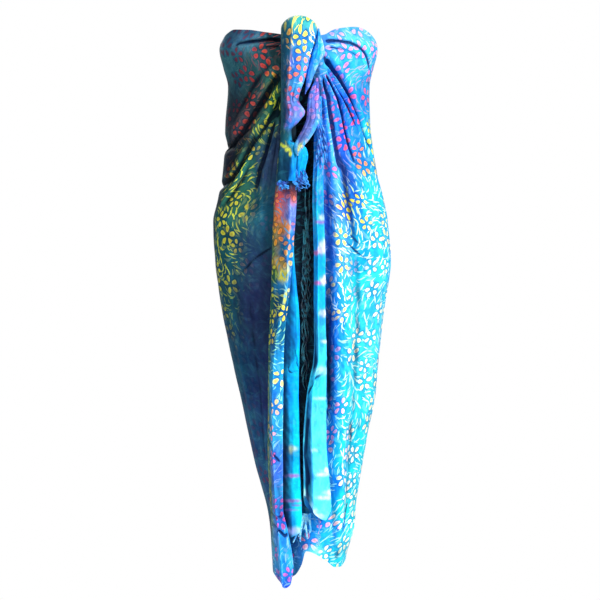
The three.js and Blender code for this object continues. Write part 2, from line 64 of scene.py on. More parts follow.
MM = 0.001
CLOTH = 0.8  # its thickness
ARC = 2.6  # the length of one degree round the figure
STEEPEST = 66  # the last angle that is looked up from an X on the front


def chart(columns, *rows):
    """A table's rows, with its columns named once."""
    return [dict(zip(columns.split(), row)) for row in rows]


# The figure's section at each height: its sides in X, and its depths before and behind.
SECTIONS = chart(
    "z left right front back",
    (20, -147, 147, 100, 96),
    (-28, -161, 155, 110, 98),
    (-65, -153, 147, 114, 97),
    (-102, -144, 139, 111, 95),
    (-170, -149, 140, 102, 94),
    (-244, -152, 149, 100, 100),
    (-284, -156, 156, 102, 108),
    (-326, -164, 167, 105, 116),
    (-372, -174, 175, 107, 122),
    (-446, -170, 180, 106, 120),
    (-542, -157, 168, 101, 108),
    (-646, -136, 157, 95, 98),
    (-724, -118, 150, 91, 94),
    (-786, -105, 137, 88, 90),
    (-862, -88, 124, 84, 86),
    (-936, -67, 112, 81, 82),
    (-978, -60, 109, 80, 81),
    (-1042, -56, 92, 78, 80),
    (-1100, -54, 84, 77, 80),
)
# The height of the cloth's top edge and of its hem at each angle.
TOP_EDGE = chart(
    "at z",
    (-180, -38), (-125, -34), (-90, -14), (-75, 4), (-62, 12), (-44, 11), (-27, 6), (-15, 2), (0, -5),
    (19, 1), (27, 11), (36, 15), (47, 17), (56, 15), (66, 8), (78, -5), (90, -18), (125, -34),
    (180, -38),
)
HEM = chart(
    "at z",
    (-180, -1014), (-125, -1022), (-90, -1044), (-60, -1068), (-33, -1082), (-22, -1077), (-11, -1056),
    (-6, -1029), (28, -1048), (48, -1061), (60, -1061), (90, -1042), (125, -1022), (180, -1014),
)
# The X where each front panel ends, in the valley beside its hanging fold.
VALLEYS = chart(
    "z left right",
    (20, -32, 38), (-48, -34, 44), (-150, -36, 44), (-290, -46, 50), (-480, -60, 53), (-830, -63, 56),
    (-940, -62, 62), (-1100, -60, 66),
)
# The long outer fold of the right panel: how far it rises, and how far from the valley its crest lies
# and its far slope reaches.
OUTER_RIGHT = chart(
    "z rise crest reach",
    (-60, 0, 10, 24),
    (-150, 8, 9, 26),
    (-290, 17, 12, 44),
    (-620, 24, 16, 74),
    (-860, 22, 17, 74),
    (-980, 12, 18, 64),
    (-1050, 0, 18, 60),
)
# A fold or crease: the rise of its crest or depth of its trough, the widths of its two slopes, its
# strength at its two ends, how sharp its crest is, and its path, here in angles and heights. On a path
# that runs down, over is the slope on the viewer's right and under the one on the left.
CREASE = "rise over under start end sharp path"
FOLDS = chart(
    CREASE,
    # the top edge, drawn in to the knot on both sides
    (-10, 10, 6, 1, 0.05, 0.4, [(-13, -10), (-22, -8), (-31, -11), (-40, -13), (-50, -16), (-58, -24)]),
    (-5, 7, 7, 1, 0, 0.5, [(-14, -22), (-26, -24), (-38, -30)]),
    (-7, 6, 9, 1, 0.3, 0.4, [(20, -12), (31, -12), (42, -15), (51, -23), (60, -38), (68, -55),
        (75, -72)]),
    (-3, 5, 6, 1, 0, 0.7, [(22, -24), (38, -30), (52, -44), (62, -66)]),
    # the left front, drawn up to the knot
    (10, 7, 22, 0.7, 0.05, 0.6, [(-15, -67), (-23, -84), (-30, -103), (-37, -123), (-42, -142),
        (-49, -161), (-56, -183), (-64, -205), (-78, -226), (-100, -240)]),
    (-11, 15, 10, 1, 0.1, 0.2, [(-15, -80), (-22, -99), (-27, -117), (-33, -137), (-38, -156),
        (-45, -177), (-53, -199), (-64, -216), (-80, -222), (-110, -232)]),
    (-4, 5, 7, 0.6, 0.4, 0.8, [(-37, -183), (-45, -193), (-56, -203), (-65, -212)]),
    (10, 7, 14, 0.7, 0.05, 0.6, [(-16, -103), (-20, -118), (-22, -137), (-26, -154), (-30, -169),
        (-35, -186), (-39, -200), (-44, -215), (-49, -236), (-56, -261), (-64, -278), (-84, -290)]),
    (-9, 10, 9, 1, 0.08, 0.2, [(-14, -118), (-17, -136), (-20, -154), (-24, -170), (-29, -188),
        (-34, -206), (-40, -228), (-48, -256), (-60, -284), (-82, -298), (-112, -308)]),
    (9, 11, 9, 0.8, 0.2, 0.3, [(-17, -125), (-21, -147), (-24, -166), (-29, -186), (-33, -200),
        (-39, -227), (-43, -246), (-50, -278), (-61, -314), (-78, -360)]),
    (-9, 8, 11, 1, 0.1, 0.3, [(-15, -146), (-18, -176), (-22, -206), (-26, -234), (-31, -268),
        (-34, -320)]),
    (7, 7, 8, 0.8, 0.2, 0.3, [(-16, -156), (-19, -190), (-22, -227), (-25, -263), (-28, -310),
        (-27, -370)]),
    (-12, 24, 26, 0.4, 0, 0, [(-58, -208), (-74, -216), (-90, -219), (-112, -222), (-136, -226),
        (-156, -230)]),
    (-7, 13, 15, 0.4, 0, 0, [(-62, -288), (-76, -297), (-90, -301), (-110, -306), (-132, -312)]),
    (-2.8, 3, 7, 0.8, 0.05, 0.5, [(-19, -422), (-26, -434), (-34, -448), (-40, -464), (-54, -492)]),
    # the right front, drawn up to the knot
    (5, 6, 6, 0.8, 0.2, 0.3, [(18, -84), (20, -118), (22, -154), (22, -190)]),
    (-15, 11, 8, 0.8, 0.3, 0.3, [(20, -84), (24, -123), (25, -149), (27, -178), (28, -215),
        (29, -275)]),
    (6, 7, 7, 0.8, 0.2, 0.3, [(21, -84), (30, -127), (35, -161), (38, -190), (41, -215)]),
    (-13, 8, 6, 0.8, 0.1, 0.4, [(22, -78), (34, -127), (38, -161), (40, -190), (43, -222), (46, -262)]),
    (6, 6, 7, 0.8, 0.2, 0.3, [(24, -79), (35, -118), (41, -149), (47, -173)]),
    (-11, 4, 5, 0.6, 0.1, 0.5, [(22, -66), (35, -115), (44, -142), (50, -166), (55, -186)]),
    (9, 5, 7, 0.9, 0.1, 0.5, [(21, -60), (34, -98), (43, -127), (53, -161), (61, -184)]),
    (-22, 15, 8, 1, 0.3, 0.3, [(20, -48), (28, -72), (39, -96), (47, -121), (54, -152), (63, -180),
        (69, -208), (84, -240)]),
    (-2.2, 3, 5, 0.9, 0, 0.8, [(28, -412), (35, -426), (43, -440), (49, -450), (59, -458)]),
    (-1.2, 3, 4, 1, 0.2, 0.7, [(33, -398), (43, -420)]),
    # round the sides and the back, from under the arms to the hem
    (8, 22, 26, 0.2, 1.6, 0, [(112, -60), (106, -240), (104, -460), (112, -760), (118, -1040)]),
    (-9, 24, 20, 0.4, 1.5, 0, [(146, -40), (140, -260), (150, -520), (146, -800), (148, -1040)]),
    (8, 26, 24, 0.1, 1.7, 0, [(166, -120), (160, -420), (165, -700), (160, -1040)]),
    (-9, 22, 26, 0.4, 1.4, 0, [(-152, -40), (-158, -300), (-150, -560), (-156, -820), (-150, -1040)]),
    (8, 24, 22, 0.1, 1.5, 0, [(-126, -240), (-124, -480), (-130, -760), (-126, -1040)]),
    (-6, 16, 18, 0, 0.8, 0.3, [(150, -150), (120, -215), (96, -262)]),
    (6, 14, 18, 0, 0.9, 0.3, [(-160, -190), (-140, -240), (-118, -250)]),
    # long soft folds down the panels
    (4, 16, 18, 0.4, 0, 0, [(40, -230), (48, -330), (52, -470)]),
    (4, 16, 22, 0.2, 0.4, 0, [(60, -300), (66, -520), (64, -800)]),
    (-1.2, 20, 22, 0.3, 0.6, 0, [(66, -560), (58, -720), (54, -900)]),
    (4, 16, 18, 0.3, 0.4, 0, [(-56, -420), (-62, -620), (-66, -860)]),
    (-4, 12, 14, 0.2, 0.5, 0.2, [(-40, -520), (-44, -700), (-56, -880)]),
    (-7, 8, 5, 0.8, 0.2, 0.5, [(53, -936), (49, -960), (43, -982), (38, -1000)]),
)
# The swell of cloth behind the knot.
PULL = dict(angle=3, z=-78, reach=78, rise=5)


def smooth(t):
    t = np.clip(t, 0, 1)
    return t * t * (3 - 2 * t)


def mix(a, b, t):
    return a + (b - a) * t


def between(table, key, where, name):
    """One column of a table, read smoothly between its rows, with no overshoot."""
    rows = sorted(table, key=lambda row: row[key])
    x = np.array([row[key] for row in rows], float)
    y = np.array([row[name] for row in rows], float)
    steps = np.diff(y) / np.diff(x)
    slopes = np.zeros(len(x))
    same = steps[:-1] * steps[1:] > 0
    before, after = steps[:-1][same], steps[1:][same]
    slopes[1:-1][same] = 2 * before * after / (before + after)
    i = np.clip(np.searchsorted(x, where) - 1, 0, len(x) - 2)
    span = x[i + 1] - x[i]
    t = np.clip((where - x[i]) / span, 0, 1)
    t2, t3 = t * t, t * t * t
    level = y[i] * (2 * t3 - 3 * t2 + 1) + y[i + 1] * (3 * t2 - 2 * t3)
    return level + span * (slopes[i] * (t3 - 2 * t2 + t) + slopes[i + 1] * (t3 - t2))


def section_at(z):
    """The middle of the section in X, half its width, and its depths before and behind."""
    sides = ("left", "right", "front", "back")
    left, right, front, back = (between(SECTIONS, "z", z, side) for side in sides)
    return (left + right) / 2, (right - left) / 2, front, back


def section_point(angle, z):
    """The X and Y of the bare section at each angle."""
    middle, half, front, back = section_at(z)
    turn = np.radians(angle)
    depth = np.where(np.cos(turn) > 0, front, back)
    return middle + half * np.sin(turn), -depth * np.cos(turn)


def angle_at(x, z):
    """Where the front of the section passes a given x."""
    middle, half = section_at(z)[:2]
    steepest = math.sin(math.radians(STEEPEST))
    return np.degrees(np.arcsin(np.clip((x - middle) / half, -steepest, steepest)))


def lift(fold, angle, z):
    """How far one fold raises the cloth at each angle and height."""
    path = [(a * ARC, height) for a, height in fold["path"]]
    lengths = [math.dist(p, q) for p, q in zip(path, path[1:])]
    total, before = sum(lengths), 0
    nearest = np.full(np.shape(angle), np.inf)
    along = np.zeros(np.shape(angle))
    side = np.zeros(np.shape(angle))
    for (x0, z0), (x1, z1), length in zip(path, path[1:], lengths):
        leg_x, leg_z = x1 - x0, z1 - z0
        x, y = angle * ARC - x0, z - z0
        t = np.clip((x * leg_x + y * leg_z) / length ** 2, 0, 1)
        away = np.hypot(x - t * leg_x, y - t * leg_z)
        closer = away < nearest
        nearest = np.where(closer, away, nearest)
        along = np.where(closer, (before + t * length) / total, along)
        side = np.where(closer, leg_x * y - leg_z * x, side)
        before += length
    # a slope falls away softly, or from a sharp crest, and the fold fades out at its two ends
    slope = np.where(side > 0, fold["over"], fold["under"])
    t = np.clip(1 - nearest / slope, 0, 1)
    profile = mix(smooth(t), t ** 2 * (0.75 + 0.25 * t), fold["sharp"])
    ends = smooth(along * 12 + 0.25) * smooth((1 - along) * 6 + 0.1)
    return fold["rise"] * mix(fold["start"], fold["end"], along) ** 0.6 * ends * profile


def ripple(x, z, size, seed):
    """Soft unevenness of hanging cloth: a few long waves with their own phases."""
    draw = random.Random(seed)
    total = np.zeros(np.shape(x))
    for _ in range(7):
        wide, tall = size * draw.uniform(0.6, 1.6), size * draw.uniform(2.2, 5.5)
        lean = draw.uniform(-0.5, 0.5)
        phase = draw.uniform(0, math.tau)
        total = total + np.sin(math.tau * ((x + lean * z) / wide + z / tall) + phase)
    return total / 7


def wound_point(angle, z):
    """A point of the wound cloth: its section, raised by its folds, the knot's pull and a soft ripple."""
    x, y = section_point(angle, z)
    turn = np.radians(angle)
    rise = sum(lift(fold, angle, z) for fold in FOLDS)
    to_knot = np.hypot((angle - PULL["angle"]) * ARC, z - PULL["z"]) / PULL["reach"]
    rise = rise + PULL["rise"] * smooth(1 - to_knot)
    inwards = (angle - angle_at(between(VALLEYS, "z", z, "right"), z)) * ARC
    height, crest, reach = (between(OUTER_RIGHT, "z", z, key) for key in ("rise", "crest", "reach"))
    shape = np.where(inwards < crest, inwards / crest, 1 - (inwards - crest) / (reach - crest))
    rise = rise + np.where(angle < 90, height * smooth(shape), 0)
    rise = rise + 0.7 * ripple(angle * ARC, z, 46, 3) * smooth((180 - np.abs(angle)) / 12)
    return np.stack([x + np.sin(turn) * rise, y - np.cos(turn) * rise, z], -1)


def facing(points):
    """Which way the cloth faces at each point of a grid."""
    normal = np.cross(np.gradient(points, axis=0), np.gradient(points, axis=1))
    return normal / (np.linalg.norm(normal, axis=-1, keepdims=True) + 1e-9)


def run_across(points):
    """How far across the cloth each point of a grid lies, along its surface."""
    steps = np.linalg.norm(np.diff(points, axis=1), axis=-1)
    return np.concatenate([np.zeros((len(points), 1)), np.cumsum(steps, axis=1)], axis=1)


def hollows(points, steps=(3, 6, 10)):
    """How deep each point of a grid lies between its neighbours, in mm: below 0 on a crest."""
    normal = facing(points)
    depth = np.zeros(points.shape[:2])
    for axis in (0, 1):
        i = np.arange(points.shape[axis])
        for step in steps:
            gap = np.minimum(step, np.minimum(i, i[::-1]))
            middle = (np.take(points, i + gap, axis) + np.take(points, i - gap, axis)) / 2
            depth += ((middle - points) * normal).sum(-1) / len(steps)
    return depth


def mark(mesh, name, values):
    """Keeps a value on each point of a mesh, for its dye or its finish to read."""
    layer = mesh.attributes.new(name, "FLOAT", "POINT")
    layer.data.foreach_set("value", np.ravel(values).astype(np.float32))


def cloth_mesh(name, points, u, v):
    """A grid of points, columns across and rows down, as a mesh with its cloth coordinates in metres."""
    tall, wide = points.shape[:2]
    index = np.arange(tall * wide).reshape(tall, wide)
    faces = np.stack([index[:-1, :-1], index[1:, :-1], index[1:, 1:], index[:-1, 1:]], -1).reshape(-1, 4)
    mesh = bpy.data.meshes.new(name)
    mesh.from_pydata((points.reshape(-1, 3) * MM).tolist(), [], faces.tolist())
    layer = mesh.uv_layers.new(name="cloth")
    flat = np.stack([u, v], -1).reshape(-1, 2)[faces.reshape(-1)] * MM
    layer.uv.foreach_set("vector", flat.ravel().astype(np.float32))
    # how deep each point lies in a fold, which the finish reads to paint shade in hollows and a highlight
    # on crests
    mark(mesh, "hollow", hollows(points))
    piece = bpy.data.objects.new(name, mesh)
    bpy.context.collection.objects.link(piece)
    return piece


def pick(piece):
    """Makes a piece the only one that Blender's tools work on."""
    bpy.ops.object.select_all(action="DESELECT")
    bpy.context.view_layer.objects.active = piece
    piece.select_set(True)


def give_thickness(piece):
    """Turns a sheet into a shell with its outer face where the sheet was."""
    pick(piece)
    shell = piece.modifiers.new("thickness", "SOLIDIFY")
    shell.thickness = CLOTH * MM
    shell.offset = -1
    bpy.ops.object.modifier_apply(modifier=shell.name)
    bpy.ops.object.shade_smooth_by_angle(angle=math.radians(50))
    piece.select_set(False)


def rgb(code):
    """A colour written as on a dyer's card, as the shader takes it."""
    parts = [int(code[i:i + 2], 16) / 255 for i in (1, 3, 5)]
    return [c / 12.92 if c <= 0.04045 else ((c + 0.055) / 1.055) ** 2.4 for c in parts]


def points_of(piece):
    """A piece's points, one to a row, in millimetres."""
    found = np.empty(len(piece.data.vertices) * 3, np.float32)
    piece.data.vertices.foreach_get("co", found)
    return found.reshape(-1, 3).astype(float) / MM


SMEAR = 0.55  # how far a patch of dye strays, as a share of its reach


def dye(piece, table, place):
    """Paints a piece's ground, petal and leaf colours and the strength of its print on its points.

    Each row of the table is a patch of dye, and the patches run into each other. place gives each
    point's two places in the table's own measure."""
    here, there = place
    points = points_of(piece)
    smear = [SMEAR * ripple(points[:, 0], points[:, 2], size, seed) for size, seed in ((11, 5), (16, 8))]
    weights = [
        row.get("weight", 1) * np.exp(
            -((here - row["at"]) / row["wide"] + smear[0]) ** 2
            - ((there - row["z"]) / row["tall"] + smear[1]) ** 2)
        for row in table
    ]
    total = sum(weights) + 1e-9
    for name in ("ground", "petal", "leaf"):
        colour = sum(w[:, None] * np.array(rgb(row[name])) for w, row in zip(weights, table))
        colour /= total[:, None]
        layer = piece.data.attributes.new(name, "FLOAT_COLOR", "POINT")
        values = np.concatenate([colour, np.ones((len(colour), 1))], axis=1)
        layer.data.foreach_set("color", values.ravel().astype(np.float32))
    mark(piece.data, "print", sum(w * row["print"] for w, row in zip(weights, table)) / total)


class Socket:
    """A shader value that is added, multiplied and divided as a number is."""

    def __init__(self, finish, output):
        self.finish = finish
        self.output = output

    def maths(self, operation, *others):
        return self.finish.node("Math", dict(operation=operation), dict(enumerate((self, *others))))

    def __add__(self, other):
        return self.maths("ADD", other)

    def __sub__(self, other):
        return self.maths("SUBTRACT", other)

    def __mul__(self, other):
        return self.maths("MULTIPLY", other)

    def __truediv__(self, other):
        return self.maths("DIVIDE", other)

    def __rsub__(self, other):
        return self.finish.node("Math", dict(operation="SUBTRACT"), {0: other, 1: self})

    __radd__ = __add__
    __rmul__ = __mul__

    def output_of(self, name):
        return Socket(self.finish, self.output.node.outputs[name])

    def soft_step(self, low, high):
        settings = dict(interpolation_type="SMOOTHSTEP")
        return self.finish.node("MapRange", settings, {"Value": self, "From Min": low, "From Max": high})


class Finish:
    """The nodes of a material, or of the studio's own light."""

    def __init__(self, made):
        made.use_nodes = True
        self.made = made
        self.tree = made.node_tree
        self.tree.nodes.clear()

    def node(self, kind, settings=None, sockets=None, output=0):
        made = self.tree.nodes.new("ShaderNode" + kind)
        for name, value in (settings or {}).items():
            setattr(made, name, value)
        for name, value in (sockets or {}).items():
            if isinstance(value, Socket):
                self.tree.links.new(value.output, made.inputs[name])
            else:
                made.inputs[name].default_value = value
        return Socket(self, made.outputs[output])

    def blend(self, factor, first, second, kind="MIX"):
        """Two colours mixed. The Mix node has its colours on sockets 6 and 7 and their mix on output 2."""
        settings = dict(data_type="RGBA", blend_type=kind)
        return self.node("Mix", settings, {0: factor, 6: first, 7: second}, output=2)

    def vectors(self, operation, first, second):
        return self.node("VectorMath", dict(operation=operation), {0: first, 1: second})

    def marked(self, name, output="Color"):
        return self.node("Attribute", dict(attribute_name=name), output=output)

    def close(self, sockets):
        shader = self.node("BsdfPrincipled", {}, sockets)
        out = self.tree.nodes.new("ShaderNodeOutputMaterial")
        self.tree.links.new(shader.output, out.inputs["Surface"])
        return self.made


def batik(name, flower_pitch, scatter):
    """Wax-resist print on dyed rayon: loose five-petalled flowers and sprays of leaf strokes, with painted
    shade in the hollows of folds and a painted highlight on crests.
    """
    f = Finish(bpy.data.materials.new(name))
    cloth = f.node("UVMap", dict(uv_map="cloth"))
    ground, petal_colour, leaf_colour = (f.marked(part) for part in ("ground", "petal", "leaf"))
    strength, hollow = f.marked("print", "Fac"), f.marked("hollow", "Fac")
    flat = dict(noise_dimensions="2D")

    def noise(scale, detail=3.0, rough=0.55):
        return f.node("TexNoise", flat, {
            "Vector": cloth, "Scale": scale, "Detail": detail, "Roughness": rough})

    # the hand's unsteadiness: all that is drawn wanders by a millimetre or two
    unsteady = f.node("TexNoise", flat, {"Vector": cloth, "Scale": 60.0}, output="Color")
    wander = f.node("VectorMath", dict(operation="SCALE"), {0: unsteady, "Scale": 0.003})
    place = f.vectors("ADD", cloth, wander)

    # flowers: one to a cell, each turned and sized by its cell, with drop-shaped petals set apart
    petals, petal_at, petal_long, petal_wide = 5, 0.0118, 0.0062, 0.0042
    cells = dict(voronoi_dimensions="2D", feature="F1")
    sockets = {"Vector": place, "Scale": 1 / flower_pitch, "Randomness": scatter}
    flower_cell = f.node("TexVoronoi", cells, sockets)
    turn_lot = f.node("SeparateColor", {}, {0: flower_cell.output_of("Color")})
    size_lot, kind_lot = turn_lot.output_of(1), turn_lot.output_of(2)
    offset = f.vectors("SUBTRACT", place, flower_cell.output_of("Position"))
    across = f.node("SeparateXYZ", {}, {0: offset})
    down = across.output_of(1)
    radius = f.node("VectorMath", dict(operation="LENGTH"), {0: offset}, output="Value")
    angle = down.maths("ARCTAN2", across) + turn_lot * math.tau
    sector = math.tau / petals
    turned = (angle + 20 * math.tau).maths("MODULO", sector) - sector / 2
    size = 0.8 + size_lot * 0.36
    out = (radius * turned.maths("COSINE") / size - petal_at) / petal_long
    aside = radius * turned.maths("SINE") / size / petal_wide / (1 + out * 0.28)
    oval = (out * out + aside * aside).maths("SQRT") + (noise(420.0) - 0.5) * 0.3
    shown = kind_lot.soft_step(0.12, 0.16)
    petal_mask = (1 - oval.soft_step(0.84, 1.04)) * shown
    petal_heart = 1 - oval.soft_step(0.3, 0.66)
    petal_halo = (1 - oval.soft_step(1.1, 1.6)) * shown
    near_flower = (1 - (radius / size).soft_step(0.0172, 0.0195)) * shown

    # leaf strokes: tapered and gently bent, one to a cell, laid with the flow of the spray
    def strokes(pitch, long, wide, bend, flow, shift=0.0):
        moved = f.vectors("ADD", place, (shift, shift * 0.6, 0))
        cell = f.node("TexVoronoi", cells, {"Vector": moved, "Scale": 1 / pitch, "Randomness": 0.7})
        lots = f.node("SeparateColor", {}, {0: cell.output_of("Color")})
        from_middle = f.vectors("SUBTRACT", moved, cell.output_of("Position"))
        laid = f.node("VectorRotate", dict(rotation_type="Z_AXIS"), {
            "Vector": from_middle, "Angle": flow + lots * 0.7})
        x = f.node("SeparateXYZ", {}, {0: laid})
        y = x.output_of(1) + x * x * (lots.output_of(1) - 0.5) * bend
        kept = lots.output_of(2).soft_step(0.12, 0.16)
        scaled = x / (long * 0.7 + long * 0.4 * lots.output_of(2))
        lens = y.maths("ABSOLUTE") / wide + scaled * scaled
        return (1 - lens.soft_step(0.72, 1.12)) * kept, (1 - lens.soft_step(1.2, 2.0)) * kept

    flow = noise(5.0, 1.0) * 10.0
    broad, broad_halo = strokes(0.0220, 0.0112, 0.0017, 16.0, flow)
    second, second_halo = strokes(0.0235, 0.0112, 0.0015, 20.0, flow + 0.2, 0.0117)
    fine, fine_halo = strokes(0.0165, 0.0080, 0.0011, 22.0, flow + 0.7, 0.031)
    clear = 1 - near_flower
    leaf_mask = broad.maths("MAXIMUM", second).maths("MAXIMUM", fine * 0.85) * clear
    leaf_halo = broad_halo.maths("MAXIMUM", second_halo).maths("MAXIMUM", fine_halo * 0.6) * clear

    # cloudy dye, darker where it pooled round the print, with faint leaves from an earlier waxing and
    # the hairlines where the wax cracked
    pool_tint, mottle_tint, haze_tint = (0.22, 0.42, 0.66, 1), (0.5, 0.72, 0.86, 1), (0.78, 0.95, 1.0, 1)
    crack_dye = (0.02, 0.03, 0.12, 1)
    cloud = noise(22.0, 5.0, 0.6)
    mottle = noise(64.0, 4.0, 0.6)
    speckle = noise(160.0, 4.0, 0.65)
    wandered = f.node("HueSaturation", {}, {"Hue": 0.5 + (noise(13.0) - 0.5) * 0.09, "Color": ground})
    pooling = cloud.soft_step(0.38, 0.7) * 0.5 + near_flower * 0.22
    pooled = f.blend(pooling, wandered, pool_tint, "MULTIPLY")
    mottled = f.blend(mottle.soft_step(0.42, 0.66) * 0.45, pooled, mottle_tint, "MULTIPLY")
    early = strokes(0.0290, 0.0150, 0.0034, 40.0, noise(9.0, 1.0) * 9.0 + 0.6)[0]
    waxed = f.blend(early * 0.16, mottled, leaf_colour, "SCREEN")
    clouded = f.blend(speckle.soft_step(0.45, 0.75) * 0.3, waxed, haze_tint, "SOFT_LIGHT")
    crack = f.node("TexVoronoi", dict(voronoi_dimensions="2D", feature="DISTANCE_TO_EDGE"), {
        "Vector": place, "Scale": 70.0, "Randomness": 1.0})
    hairline = (1 - crack.soft_step(0.0, 0.035)) * cloud.soft_step(0.5, 0.62) * 0.2
    cracked = f.blend(hairline, clouded, crack_dye)

    # the print over it: a dark halo where dye crept under the wax, then leaves, then rimmed petals
    halo_tint, rim_tint, heart_tint = (0.12, 0.24, 0.5, 1), (1.0, 0.8, 0.72, 1), (0.8, 0.56, 0.28, 1)
    halo = petal_halo.maths("MAXIMUM", leaf_halo * 0.6) * strength * 0.5
    haloed = f.blend(halo, cracked, halo_tint, "MULTIPLY")
    rimmed = f.blend(speckle.soft_step(0.35, 0.65) * 0.3, petal_colour, rim_tint, "MULTIPLY")
    hearted = f.blend(petal_heart * (0.2 + size_lot * 0.45), rimmed, heart_tint, "MULTIPLY")
    leaved = f.blend(leaf_mask * strength, haloed, leaf_colour)
    flowered = f.blend(petal_mask * strength, leaved, hearted)

    # painted shade, darker where the cloth lies in the hollow of a fold, and a painted highlight, paler on
    # a crest
    painted_shade_tint, painted_highlight_tint = (0.05, 0.07, 0.2, 1), (1.45, 1.5, 1.45, 1)
    sunk = f.blend(hollow.soft_step(0.1, 2.4) * 0.93, flowered, painted_shade_tint, "MULTIPLY")
    print_and_painted_light = f.blend((0 - hollow).soft_step(0.3, 2.4), sunk, painted_highlight_tint, "MULTIPLY")

    # plain weave, which shows as a faint rib both ways, and the slight slub of the yarn
    rib, bands_to_one = 0.001777, 20 / math.tau
    warp, weft = (
        f.node("TexWave", dict(bands_direction=way), {"Vector": cloth, "Scale": 1 / rib / bands_to_one})
        for way in ("X", "Y"))
    weave = warp * 0.5 + weft * 0.5
    bump = f.node("Bump", {}, {"Height": weave, "Strength": 0.12, "Distance": 0.0003})
    slub = f.node("Bump", {}, {
        "Height": noise(240.0), "Strength": 0.25, "Distance": 0.0012, "Normal": bump})
    # the base colour is the print with painted shade in fold hollows and a painted highlight on crests
    return f.close({
        "Base Color": print_and_painted_light,
        "Roughness": 0.6 + (cloud - 0.5) * 0.16,
        "Normal": slub,
        "Sheen Weight": 0.1,
        "Sheen Roughness": 0.4,
        "Sheen Tint": (0.5, 0.86, 1.0, 1),
        "Specular IOR Level": 0.16,
        "Specular Tint": (0.5, 0.86, 1.0, 1),
    })
